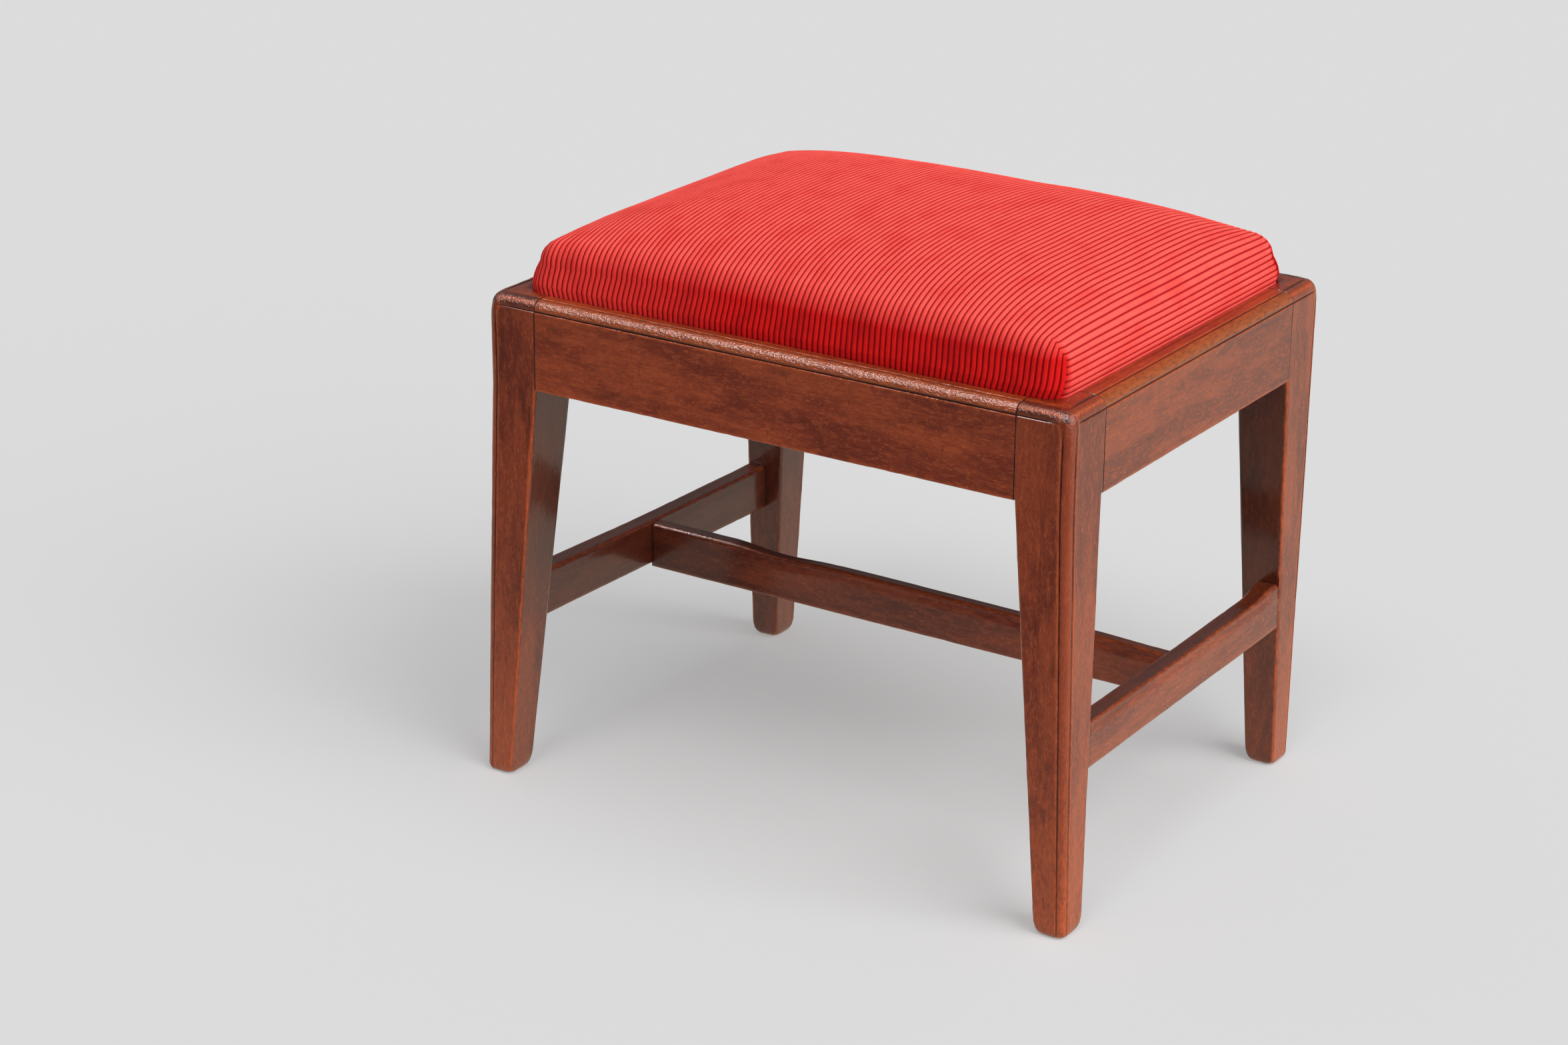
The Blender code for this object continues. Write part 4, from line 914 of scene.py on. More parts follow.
# %% Middle stretcher
MIDDLE_OFFSET = 5.8
bm = stretcher_mesh("stretcher_middle", HALF_LENGTH, MIDDLE_STRETCHER_THICKNESS / 2)
bmesh.ops.translate(bm, verts=bm.verts, vec=(0, 0, MIDDLE_STRETCHER_MIDDLE))
for side, side_x in (("left", -1), ("right", 1)):
    start, end = side_line("leg_front_" + side, "leg_back_" + side)
    along = (end - start).normalized()
    outward = Vector((side_x * abs(along.y), -side_x * along.x * math.copysign(1, along.y), 0)).normalized()
    crossing = start.lerp(end, -start.y / (end.y - start.y))
    shoulder = crossing - outward * (SIDE_STRETCHER_THICKNESS / 2 - PIECE_FIT)
    fit_joint(bm, shoulder, outward, *MIDDLE_JOINT_DIRT)
weather(bm, MIDDLE_OFFSET)
# Painted shade, darkest at the left end and fading out towards the middle.
[shade] = paint(bm, "shade")
for vert in bm.verts:
    from_left = (vert.co.x + HALF_LENGTH) / (2 * HALF_LENGTH)
    vert[shade] = max(vert[shade], LEFT_SHADE * fade(from_left, LEFT_SHADE_REACH))
    vert.co.x += CENTRE_X
finish_polished("stretcher_middle", bm, "x", MIDDLE_OFFSET)

# %% [markdown]
# The stuffed seat. Its skin is wide-wale corduroy: ribs of cut pile about 3 mm apart that run from front to
# back. The ribs go over the front shoulder and down the front. On the two ends the same ribs lie flat, one
# above the other. High on a corner they simply bend round from the end into the front. Lower down there is
# too much cloth for that, so it is folded: the last rib of the front stands over the ends of the others.
#
# The skin is one grid with five lines to each rib, run out over the shoulders and down the sides ring by
# ring. Every vertex keeps its place in the flat cloth: its column, its row and its depth below the rim.
# At a corner the grid has a fan of cells on each side of the fold. The fan towards the front is wide,
# because it carries the five ribs that bend round.

# %% The cushion's form
COVER_HALF_X = 148.4 * MM
COVER_HALF_Y = 114.9 * MM
COVER_BOTTOM = 247.3 * MM
COVER_THICKNESS = 1.2 * MM
STUFFING_BOTTOM = 267.6 * MM
RIM_HEIGHT = 283.5 * MM
CROWN_HEIGHT = 19 * MM
CROWN_POWER = 4
SHOULDER = 9.5 * MM
CORNER = 11.5 * MM
LEAN = 2.7 * MM
LEAN_START = 264.1 * MM
MARGIN_X = 126.5 * MM
MARGIN_Y = 90.5 * MM

CROWN_X = COVER_HALF_X - LEAN
CROWN_Y = COVER_HALF_Y - LEAN
STRAIGHT_X = CROWN_X - CORNER
STRAIGHT_Y = CROWN_Y - CORNER
RIM_RADIUS = CORNER - SHOULDER
SHOULDER_ARC = SHOULDER * math.pi / 2
WALL_TOP = RIM_HEIGHT - SHOULDER
BOTTOM_DEPTH = SHOULDER_ARC + WALL_TOP - COVER_BOTTOM
print("cushion:", round(2 * CROWN_X / MM, 1), "by", round(2 * CROWN_Y / MM, 1), "mm at its rim")

# %% Ribs and the grid of the flat cloth
WALES = 90
WALE = 2 * STRAIGHT_X / WALES
WALE_PHASES = (0, 0.13, 0.37, 0.63, 0.87)
WALE_RINGS = 16
ROWS = 48
RIBS_END = 34 * MM
BENT_WALES = 5
ROW_CELLS = 6
FOLD_DEPTH = BENT_WALES * WALE - RIM_RADIUS
FOLD_DRAW = 80 * MM


def chart_lines(places, shares):
    """Grid lines of the flat cloth: the middle ones, then close ones at each rim for the corners."""
    low, high = places[0], places[-1]
    return [low - share * RIM_RADIUS for share in reversed(shares)] + places + [
        high + share * RIM_RADIUS for share in shares]


def wale_lines(wales):
    """The lines of the first few ribs, counted in ribs' widths."""
    return [wale + phase for wale in range(wales) for phase in WALE_PHASES]


wale_shares = [line / BENT_WALES for line in wale_lines(BENT_WALES)][1:] + [1]
row_shares = [step / ROW_CELLS for step in range(1, ROW_CELLS + 1)]
wale_columns = [line * WALE - STRAIGHT_X for line in wale_lines(WALES)] + [STRAIGHT_X]
even_rows = [STRAIGHT_Y * (2 * step / ROWS - 1) for step in range(ROWS + 1)]
wale_depths = [line * WALE - RIM_RADIUS for line in wale_lines(WALE_RINGS)]
wale_depths = [depth for depth in wale_depths if 0.2 * MM < depth < RIBS_END]
print("cloth:", WALES, "ribs of", round(WALE / MM, 2), "mm,", len(wale_depths), "rings")


# %% The cushion's skin
def bent_cloth(depth):
    """The width of cloth that bends round a corner from the front, up to the fold."""
    return min(RIM_RADIUS + max(0, depth), BENT_WALES * WALE)


def fold_angle(depth):
    """How far round the corner the fold lies: 0 is the front, a right angle the end."""
    radius = RIM_RADIUS + SHOULDER * math.sin(min(max(0, depth), FOLD_DEPTH) / SHOULDER)
    angle = bent_cloth(depth) / radius
    lower = max(0, depth - FOLD_DEPTH) / (BOTTOM_DEPTH - FOLD_DEPTH)
    return angle + (math.radians(45) - angle) * min(1, lower)


def crown(x, y):
    """The height of the stuffed crown over a point."""
    along = 1 - min(1, abs(x / CROWN_X)) ** CROWN_POWER
    across = 1 - min(1, abs(y / CROWN_Y)) ** CROWN_POWER
    return RIM_HEIGHT + CROWN_HEIGHT * along * across


def corner_shares(column, row):
    """How far past the straight parts of the chart a place lies, as shares of the corner's cells."""
    return max(0, abs(column) - STRAIGHT_X) / RIM_RADIUS, max(0, abs(row) - STRAIGHT_Y) / RIM_RADIUS


def rounded_point(column, row, half_x, half_y, radius, depth=0):
    """A chart place on a rounded rectangle of this size. A corner's square of cells becomes two fans."""
    past_x, past_y = corner_shares(column, row)
    x = min(abs(column), STRAIGHT_X) / STRAIGHT_X * (half_x - radius)
    y = min(abs(row), STRAIGHT_Y) / STRAIGHT_Y * (half_y - radius)
    fold = fold_angle(depth)
    if past_y >= past_x and past_y > TOUCH:
        drawn = max(0, bent_cloth(depth) - radius * fold)
        along = abs(column) if past_x < TOUCH else STRAIGHT_X + bent_cloth(depth) * past_x / past_y
        if depth > FOLD_DEPTH and along > STRAIGHT_X - FOLD_DRAW:
            along -= drawn * (along - STRAIGHT_X + FOLD_DRAW) / (FOLD_DRAW + bent_cloth(depth))
        elif past_x > TOUCH:
            along = STRAIGHT_X + radius * fold * past_x / past_y
        angle = max(0, along - STRAIGHT_X) / radius if radius > TOUCH else 0
        x = min(along, STRAIGHT_X) / STRAIGHT_X * (half_x - radius) + radius * past_y * math.sin(angle)
        y += radius * past_y * math.cos(angle)
    elif past_x > TOUCH:
        angle = fold + (math.pi / 2 - fold) * (1 - past_y / past_x)
        x += radius * past_x * math.sin(angle)
        y += radius * past_x * math.cos(angle)
    return math.copysign(x, column), math.copysign(y, row)


def cushion_point(column, row, depth):
    """Where a place of the flat cloth lies on the cushion. Depth runs down from the crown's rim."""
    if depth <= 0:
        x, y = rounded_point(column, row, STRAIGHT_X + RIM_RADIUS, STRAIGHT_Y + RIM_RADIUS, RIM_RADIUS)
        return Vector((x, y, crown(x, y)))
    if depth <= SHOULDER_ARC:
        angle = depth / SHOULDER
        out = SHOULDER * (1 - math.sin(angle))
        x, y = rounded_point(column, row, CROWN_X - out, CROWN_Y - out, CORNER - out, depth)
        return Vector((x, y, crown(x, y) - SHOULDER * (1 - math.cos(angle))))
    height = WALL_TOP - (depth - SHOULDER_ARC)
    lean = LEAN * max(0, (height - LEAN_START) / (WALL_TOP - LEAN_START))
    x, y = rounded_point(column, row, COVER_HALF_X - lean, COVER_HALF_Y - lean, CORNER, depth)
    return Vector((x, y, height))


def next_ring(bm, rim):
    """Draw the free edge of the skin out once more, and return its new edges and their vertices."""
    fresh = bmesh.ops.extrude_edge_only(bm, edges=rim)["geom"]
    rim = [item for item in fresh if isinstance(item, bmesh.types.BMEdge) and item.is_boundary]
    return rim, {vert for edge in rim for vert in edge.verts}


def cushion_skin(columns, rows, depths):
    """A skin over the crown and down the sides, with a line at each column, row and depth."""
    bm = bmesh.new()
    bmesh.ops.create_grid(bm, x_segments=len(columns) - 1, y_segments=len(rows) - 1, size=1)
    chart = paint(bm, "column", "row", "depth")
    for vert in bm.verts:
        vert[chart[0]] = columns[round((vert.co.x + 1) / 2 * (len(columns) - 1))]
        vert[chart[1]] = rows[round((vert.co.y + 1) / 2 * (len(rows) - 1))]
        vert.co = cushion_point(*(vert[layer] for layer in chart))
    rim = [edge for edge in bm.edges if edge.is_boundary]
    for depth in depths:
        rim, ring = next_ring(bm, rim)
        for vert in ring:
            vert.co = cushion_point(vert[chart[0]], vert[chart[1]], depth)
            vert[chart[2]] = depth
    return bm, rim


print("fold:", round(math.degrees(fold_angle(FOLD_DEPTH)), 1), "degrees round the corner at",
      round(FOLD_DEPTH / MM, 1), "mm below the rim")

# %% [markdown]
# The stuffing pushes the skin out, most where nothing holds it. A cloth simulation finds that shape: a
# plain pad of the cushion's form is remeshed into even cells, held at its foot and blown up a little. Only
# its displacement is kept, and read off for every vertex of the fine skin, so no rib is lost to the remesh.

# %% Stuffing, by simulation
PAD_COLUMNS = 24
PAD_DEPTHS = [3 * MM, 7 * MM, 11 * MM, SHOULDER_ARC, 20 * MM, 25 * MM]
PAD_VOXEL = 5 * MM
PAD_HELD_BELOW = 267 * MM
PAD_CAP = 3 * MM
PAD_FRAMES = 20
PAD_CLOTH = {
    "vertex_group_mass": "held",
    "use_pressure": True,
    "uniform_pressure_force": 4,
    "tension_stiffness": 40,
    "compression_stiffness": 40,
    "bending_stiffness": 8,
}


def pad_displacement():
    """Places on the pad's skin, as a tree, and how far the stuffing moves each of them."""
    columns = [STRAIGHT_X * (2 * step / PAD_COLUMNS - 1) for step in range(PAD_COLUMNS + 1)]
    columns, rows = (chart_lines(places, row_shares[1::2]) for places in (columns, even_rows[::4]))
    bm, rim = cushion_skin(columns, rows, PAD_DEPTHS)
    bmesh.ops.holes_fill(bm, edges=rim)
    mesh = bpy.data.meshes.new("pad")
    bm.to_mesh(mesh)
    bm.free()
    pad = put_in_scene("pad", mesh)
    remesh = pad.modifiers.new("even_cells", "REMESH")
    remesh.mode = "VOXEL"
    remesh.voxel_size = PAD_VOXEL
    pad.data = bpy.data.meshes.new_from_object(pad.evaluated_get(bpy.context.evaluated_depsgraph_get()))
    pad.modifiers.clear()
    rest = [vert.co.copy() for vert in pad.data.vertices]
    held = pad.vertex_groups.new(name="held")
    held.add([i for i, place in enumerate(rest) if place.z < PAD_HELD_BELOW], 1, "REPLACE")
    cloth = pad.modifiers.new("cloth", "CLOTH")
    for name, value in PAD_CLOTH.items():
        setattr(cloth.settings, name, value)
    cloth.settings.effector_weights.gravity = 0
    cloth.point_cache.frame_start = 1
    cloth.point_cache.frame_end = PAD_FRAMES
    for number in range(1, PAD_FRAMES + 1):
        bpy.context.scene.frame_set(number)
    swollen = pad.evaluated_get(bpy.context.evaluated_depsgraph_get())
    moves = [after.co - before for after, before in zip(swollen.data.vertices, rest)]
    faces = [tuple(polygon.vertices) for polygon in pad.data.polygons]
    bpy.context.scene.frame_set(1)
    bpy.data.objects.remove(pad)
    largest = max(move.length for move in moves)
    moves = [move * min(1, PAD_CAP / max(move.length, TOUCH)) for move in moves]
    print("pad:", len(rest), "points, swelled up to", round(largest / MM, 1), "mm, capped at", PAD_CAP / MM)
    return BVHTree.FromPolygons(rest, faces), faces, rest, moves


def stuffing_move(pad, place):
    """The pad's displacement at the point of its skin that is nearest to a place."""
    tree, faces, rest, moves = pad
    spot, normal, index, gap = tree.find_nearest(place)
    corners = faces[index]
    weights = poly_3d_calc([rest[corner] for corner in corners], spot)
    return sum((moves[corner] * weight for corner, weight in zip(corners, weights)), Vector())


# %% [markdown]
# Ribs and folds. The nominal form is the crest of the ribs, and the grooves are sunk below it along the
# vertex normals. Slow noise makes the stuffing a little lumpy and lets the ribs wander, as cloth that was
# stretched by hand does. The last rib of the front and back stands over the fold at each corner. Above the
# rails the stuffing swells out over the well at both ends.

# %% Ribs and folds
GROOVE_DEPTH = 0.62 * MM
FOLD_RISE = 0.7 * MM
FOLD_GROOVE = 1.0 * MM
FOLD_RUN_IN = 6 * MM
RIBS_RUN_OUT = 2 * MM
LUMP_SIZE = 48 * MM
LUMP_HEIGHT = 0.45 * MM
LUMP_RISE = 8 * MM
LUMP_SEED = 3
WANDER_SIZE = 19 * MM
WANDER = 0.15 * MM
SWELL_LEFT = 1.2 * MM
SWELL_RIGHT = 1.6 * MM
SWELL_START = 258.6 * MM
SWELL_RISE = 9 * MM
SWELL_REACH = 90 * MM
# Painted pile light: where the shade on the front and back walls begins and grows, and how much lit colour
# is painted back towards the left end, from where.
WALL_SHADE_START = 1 * MM
WALL_SHADE_RISE = 11 * MM
LEFT_WALL_LIGHT = 0.5
LEFT_WALL_LIGHT_START = 0.2


def on_end(column, row, depth):
    """True where the ribs lie flat: on the two ends and round the corners as far as the fold."""
    past_x, past_y = abs(column) - STRAIGHT_X, abs(row) - STRAIGHT_Y
    return depth > 0 and past_x > RIM_RADIUS - TOUCH and past_y < RIM_RADIUS - TOUCH


def wale_number(column, depth, flat):
    """Which rib a place of the cloth lies on. The whole numbers are the grooves."""
    beyond = RIM_RADIUS + depth if flat else bent_cloth(depth) * corner_shares(column, 0)[0]
    return (math.copysign(min(abs(column), STRAIGHT_X) + beyond, column) + STRAIGHT_X) / WALE


def distance_along(row, depth, flat):
    """How far along its rib a place of the cloth lies, counted in ribs' widths."""
    if not flat:
        return (row + math.copysign(depth, row)) / WALE
    round_corner = corner_shares(0, row)[1] * (math.pi / 2 - fold_angle(depth))
    return math.copysign(min(abs(row), STRAIGHT_Y) + CORNER * round_corner, row) / WALE


def relief(column, row, depth):
    """How far the cloth stands below its nominal form, or above it, at a place."""
    flat = on_end(column, row, depth)
    across = abs(wale_number(column, depth, flat) % 1 - 0.5) * 2
    height = -GROOVE_DEPTH * across ** 3
    folded = clamp((depth - FOLD_DEPTH) / FOLD_RUN_IN)
    past = (abs(column) - STRAIGHT_X) / RIM_RADIUS
    if folded and not flat and past > 1 - TOUCH:
        height = height * (1 - folded) - FOLD_GROOVE * folded
    elif folded and not flat and past > 1 - 1 / BENT_WALES:
        height += FOLD_RISE * folded * (1 - across ** 2)
    return height * clamp((RIBS_END - depth) / RIBS_RUN_OUT)


def painted_pile_light(column, row, depth):
    """How much of the lit copy of each colour is painted: all on top and the ends, little on the walls, more
    at the left.
    """
    wall_shade = corner_shares(0, row)[1] * clamp((depth - WALL_SHADE_START) / WALL_SHADE_RISE)
    left_light = LEFT_WALL_LIGHT * clamp(-column / STRAIGHT_X - LEFT_WALL_LIGHT_START)
    return 1 - wall_shade * (1 - left_light)


def place_skin(bm, chart):
    """Sink the grooves and let the stuffing swell, most at the two ends just above the rails."""
    bm.normal_update()
    pad = pad_displacement()
    # Vector noise is shifted by a random draw, and a fixed seed makes the same lumps every time.
    noise.seed_set(LUMP_SEED)
    moves = []
    for vert in bm.verts:
        lumps = noise.noise_vector(vert.co / LUMP_SIZE) * LUMP_HEIGHT
        lumps += noise.noise_vector(vert.co / WANDER_SIZE) * WANDER
        if pad:
            lumps += stuffing_move(pad, vert.co)
        lumps *= clamp((vert.co.z - PAD_HELD_BELOW) / LUMP_RISE)
        over_rails = clamp((vert.co.z - SWELL_START) / SWELL_RISE)
        near_end = fade(COVER_HALF_X - abs(vert.co.x), SWELL_REACH)
        swell = (-SWELL_LEFT if vert.co.x < 0 else SWELL_RIGHT) * over_rails * near_end
        moves.append(vert.normal * relief(*(vert[layer] for layer in chart)) + lumps + Vector((swell, 0, 0)))
    for vert, move in zip(bm.verts, moves):
        vert.co += move


print("grooves", round(GROOVE_DEPTH / MM, 2), "mm deep, fold", round(FOLD_RISE / MM, 2), "mm high")

# %% The whole cover
HEM = 0.8 * MM
PLAIN_DEPTH = 38 * MM
STUFFING_INSET = 4 * MM


def cushion_cover():
    """The cushion as one closed piece: ribbed skin, turned-under margin and flat foot of the stuffing."""
    columns, rows = chart_lines(wale_columns, wale_shares), chart_lines(even_rows, row_shares)
    bm, rim = cushion_skin(columns, rows, wale_depths + [RIBS_END, PLAIN_DEPTH, BOTTOM_DEPTH - HEM])
    chart = paint(bm, "column", "row", "depth")
    place_skin(bm, chart)

    outer = (COVER_HALF_X, COVER_HALF_Y, CORNER)
    inner = [size - COVER_THICKNESS for size in outer]
    margin = (MARGIN_X, MARGIN_Y, COVER_THICKNESS)
    margin_top = COVER_BOTTOM + COVER_THICKNESS
    under = [
        (*(size - HEM for size in outer), COVER_BOTTOM),
        (*margin, COVER_BOTTOM),
        (*margin, margin_top),
        (*inner, margin_top),
        (*inner, LEAN_START),
        (*(size - STUFFING_INSET for size in inner), STUFFING_BOTTOM),
    ]
    for *size, height in under:
        rim, ring = next_ring(bm, rim)
        for vert in ring:
            vert.co = (*rounded_point(vert[chart[0]], vert[chart[1]], *size, BOTTOM_DEPTH), height)
            vert[chart[2]] = BOTTOM_DEPTH
    bmesh.ops.holes_fill(bm, edges=rim)

    [pile_light_layer] = paint(bm, "painted_pile_light")
    for vert in bm.verts:
        vert[pile_light_layer] = painted_pile_light(*(vert[layer] for layer in chart))
    weave = bm.loops.layers.uv.new("weave")
    for face in bm.faces:
        flat = any(on_end(*(vert[layer] for layer in chart)) for vert in face.verts)
        for loop in face.loops:
            column, row, depth = (loop.vert[layer] for layer in chart)
            loop[weave].uv = (wale_number(column, depth, flat), distance_along(row, depth, flat))
    for name in ("column", "row", "depth"):
        bm.verts.layers.float.remove(bm.verts.layers.float[name])
    bmesh.ops.translate(bm, verts=bm.verts, vec=(CENTRE_X, 0, 0))
    return bm


# %% [markdown]
# Corduroy is a cotton cloth with rows of cut pile. The crests catch the light and look coral, and the
# grooves, where one looks between the tufts, are a deeper red: both are painted into the colour, the
# grooves' red partly as painted shade. Where the pile hangs down the front and back it is seen end on and
# looks crimson: a number painted on the vertices lays shaded copies of the colours there and lit ones on
# the top and ends, as painted shade and painted light. Pile has no gloss. The pattern follows the cloth by
# its own UV map, in which U counts the ribs and V runs along them in the same unit.

# %% Corduroy
# Noise patterns on the cloth: size across the ribs and along them in millimetres, detail, distortion.
CLOTH_PATTERNS = {"pile": (0.28, 0.7, 2, 0), "crush": (15, 26, 3, 0), "scuff": (5, 9, 3, 0)}
# Each colour as a shaded and a lit copy: painted shade where the pile hangs down the front and back, painted
# light where it lies on the top and the ends.
CREST = ("#C81514", "#F4574F")
CRUSHED = ("#A00E12", "#E4423C")
GROOVE = ("#760408", "#A0161A")
TIPS = ("#E83A34", "#FF8A80")
print("corduroy: patterns", ", ".join(CLOTH_PATTERNS))


def corduroy():
    """Wide-wale cotton corduroy: coral crests over crimson grooves, with fine pile and crushed patches."""
    material, tree, shader = new_material("wide_wale_cotton_corduroy")
    weave = add_node(tree, "UVMap", uv_map="weave")
    patterns = noise_patterns(tree, weave, CLOTH_PATTERNS, unit=WALE)

    # The distance from the middle of a rib, 0 to 0.5, made ragged by the pile.
    ribs = add_node(tree, "SeparateXYZ", {0: weave}, "X")
    phase = add_node(tree, "Math", {0: ribs}, operation="FRACT")
    centred = add_node(tree, "Math", {0: phase, 1: 0.5}, operation="SUBTRACT")
    from_crest = add_node(tree, "Math", {0: centred}, operation="ABSOLUTE")
    ragged = add_node(tree, "Math", {0: patterns["pile"], 1: 0.16, 2: from_crest}, operation="MULTIPLY_ADD")

    # Painted shade and light: each colour is taken from its shaded or its lit copy by the number on the
    # vertices.
    pile_light_share = add_node(tree, "Attribute", output="Fac", attribute_name="painted_pile_light")
    crest, crushed, groove, tips = (
        add_node(tree, "Mix", {0: pile_light_share, 6: pair[0], 7: pair[1]}, data_type="RGBA")
        for pair in (CREST, CRUSHED, GROOVE, TIPS))
    colour = lay_colours(tree, crest, (
        (patterns["crush"], 0.48, 0.66, 0.60, crushed),
        (patterns["scuff"], 0.50, 0.70, 0.35, crushed),
        (patterns["pile"], 0.45, 0.75, 0.25, tips),
        # Painted shade: the grooves are laid in a deeper red than the crests.
        (ragged, 0.34, 0.54, 1.00, groove),
    ))
    fuzz = add_node(tree, "Bump", {"Strength": 0.6, "Distance": 0.3 * MM, "Height": patterns["pile"]})
    set_inputs(shader, {"Base Color": colour, "Roughness": 1, "Specular IOR Level": 0.05, "Normal": fuzz,
                        "Sheen Weight": 0.1, "Sheen Roughness": 0.5, "Sheen Tint": "#FF7A6C"})
    return material


# %% Seat
seat = finish_piece("stuffed_corduroy_seat", cushion_cover(), "drop_in_seat", corduroy(),
                    ["corduroy_cover", "hair_stuffing"])

# %% [markdown]
# Inside the seat. The cushion stands on a loose beech frame, four members with rounded outer corners, and
# the corners of the seat rails hold four glue blocks of pine. Both are rough work that was never polished:
# pale wood with straight grain, saw marks and a little dirt. The blocks are copies of the frame's own
# solids with their edges eased, and the members are planed like the rails.

# %% Plain woods
SAW_MARK = 1.6 * MM
print("saw marks", round(SAW_MARK / MM, 1), "mm apart")
# A wave texture of scale 1 repeats every 0.314 units, so a repeat of one unit needs this scale.
WAVE_UNIT = math.tau / 20


def plain_wood(name, grain, offset, pale, dark, ring_width):
    """Unpolished timber: straight grain lines, their width given in millimetres, and sawn marks across."""
    material, tree, shader = new_material(name)
    space = grain_space(tree, grain, (offset, offset * 1.3, offset * 0.4))
    rings = noise_patterns(tree, space, {"rings": (ring_width / 0.04, ring_width, 4, 0.4)})["rings"]
    marks = add_node(tree, "TexWave", {"Vector": space, "Scale": WAVE_UNIT / SAW_MARK, "Distortion": 1.5,
                                       "Detail": 2}, bands_direction="X")
    height = add_node(tree, "Math", {0: marks, 1: rings}, operation="ADD")
    bump = add_node(tree, "Bump", {"Strength": 0.5, "Distance": 0.12 * MM, "Height": height})
    set_inputs(shader, {"Base Color": lay_colours(tree, pale, [(rings, 0.35, 0.7, 1, dark)], "LINEAR"),
                        "Roughness": 0.75, "IOR": 1.5, "Normal": bump})
    return material


# %% Corner blocks
WELD_WITHIN = 0.01 * MM
FLAT_WITHIN = math.radians(2)
SHARP_FROM = math.radians(30)
for index, corner_name in enumerate(("front_left", "front_right", "back_right", "back_left")):
    node = "corner_block_" + corner_name
    bm = bmesh.new()
    bm.from_mesh(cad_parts[node].data)
    bmesh.ops.remove_doubles(bm, verts=bm.verts, dist=WELD_WITHIN)
    bmesh.ops.dissolve_limit(bm, angle_limit=FLAT_WITHIN, verts=bm.verts, edges=bm.edges)
    sharp = [edge for edge in bm.edges if edge.calc_face_angle(0) > SHARP_FROM]
    bmesh.ops.bevel(bm, geom=sharp, offset=EASED_EDGE, segments=2, affect="EDGES", profile=0.5, material=-1)
    pine = plain_wood("sawn_pine_" + corner_name, "z", 0.7 + index, "#C99B63", "#9A6A3A", 3.5)
    finish_piece("glue_block_" + corner_name, bm, "frame", pine, [node])

# %% Seat frame
SEAT_HALF_X = 146.9 * MM
SEAT_HALF_Y = 113.4 * MM
SEAT_MEMBER = 38 * MM
SEAT_OPENING_X = SEAT_HALF_X - SEAT_MEMBER
SEAT_OPENING_Y = SEAT_HALF_Y - SEAT_MEMBER
SEAT_BOTTOM = 248.8 * MM
SEAT_TOP = 263.8 * MM
SEAT_CORNER = 10 * MM


def seat_member(name, low, high, axis, offset):
    """A planed member of the loose frame, its outer corners rounded to follow the cushion's."""
    bm = planed_block(low, high)

    def outer_corner(a, b):
        at_corner = abs(a.x) > SEAT_HALF_X - TOUCH and abs(a.y) > SEAT_HALF_Y - TOUCH
        return at_corner and (a - b).xy.length < TOUCH

    ease(bm, outer_corner, SEAT_CORNER, 6)
    ease(bm, lambda a, b: abs(a.z - b.z) < TOUCH)
    divide_along(bm, axis, 2 * LINE_SPACING)
    weather(bm, offset)
    bmesh.ops.translate(bm, verts=bm.verts, vec=(CENTRE_X, 0, 0))
    beech = plain_wood("planed_beech_" + name, "xy"[axis], offset, "#C79E6C", "#A97C4C", 1.8)
    node = "seat_frame_" + name
    finish_piece("planed_" + node, bm, "drop_in_seat", beech, [node])


for name, side, offset in (("front", -1, 6.3), ("back", 1, 6.9)):
    ends = sorted((side * SEAT_OPENING_Y, side * SEAT_HALF_Y))
    seat_member(name, (-SEAT_HALF_X, ends[0], SEAT_BOTTOM), (SEAT_HALF_X, ends[1], SEAT_TOP), 0, offset)
for name, side, offset in (("left", -1, 7.4), ("right", 1, 8.1)):
    ends = sorted((side * SEAT_OPENING_X, side * SEAT_HALF_X))
    reach = SEAT_OPENING_Y - JOINT_GAP
    seat_member(name, (ends[0], -reach, SEAT_BOTTOM), (ends[1], reach, SEAT_TOP), 1, offset)

# %% [markdown]
# Webbing and hessian. Five straps of jute webbing are interlaced over the opening, and a sheet of hessian
# is stretched over them to keep the hair in. Each strap is a band with a line every few millimetres, so
# that it can rise and dip smoothly where it crosses the others. The weave itself is far finer than the
# picture shows, and is left to the materials.

# %% Woven jute
HESSIAN_THREAD = 1.3 * MM
WEBBING_THREAD = 0.9 * MM
SLUBS_PER_METRE = 220
EDGE_STRIPE_WIDTH = 1.4 * MM
print("threads:", round(HESSIAN_THREAD / MM, 1), "mm in the hessian,", round(WEBBING_THREAD / MM, 1),
      "mm in the straps")


def woven_jute(name, thread, pale, dark, stripe=None):
    """Plain-woven jute with threads of one width. A strap has a dark stripe this far from its middle."""
    material, tree, shader = new_material(name)
    weave = add_node(tree, "UVMap", uv_map="weave")
    warp, weft = (add_node(tree, "TexWave", {"Vector": weave, "Scale": WAVE_UNIT / thread, "Distortion": 1.2,
                                             "Detail": 2}, bands_direction=axis) for axis in "XY")
    height = add_node(tree, "Math", {0: warp, 1: weft}, operation="MULTIPLY")
    slub = add_node(tree, "TexNoise", {"Vector": weave, "Scale": SLUBS_PER_METRE, "Detail": 4})
    mottle = add_node(tree, "Math", {0: height, 1: 0.6, 2: slub}, operation="MULTIPLY_ADD")
    colour = lay_colours(tree, dark, [(mottle, 0.35, 1.1, 1, pale)], "LINEAR")
    if stripe:
        across = add_node(tree, "SeparateXYZ", {0: weave}, "Y")
        side = add_node(tree, "Math", {0: across}, operation="ABSOLUTE")
        line = add_node(tree, "Math", {0: side, 1: stripe, 2: EDGE_STRIPE_WIDTH}, operation="COMPARE")
        colour = add_node(tree, "Mix", {0: line, 6: colour, 7: "#3A2A20"}, data_type="RGBA")
    bump = add_node(tree, "Bump", {"Strength": 0.8, "Distance": 0.3 * MM, "Height": height})
    set_inputs(shader, {"Base Color": colour, "Roughness": 0.95, "Specular IOR Level": 0.15, "Normal": bump})
    return material


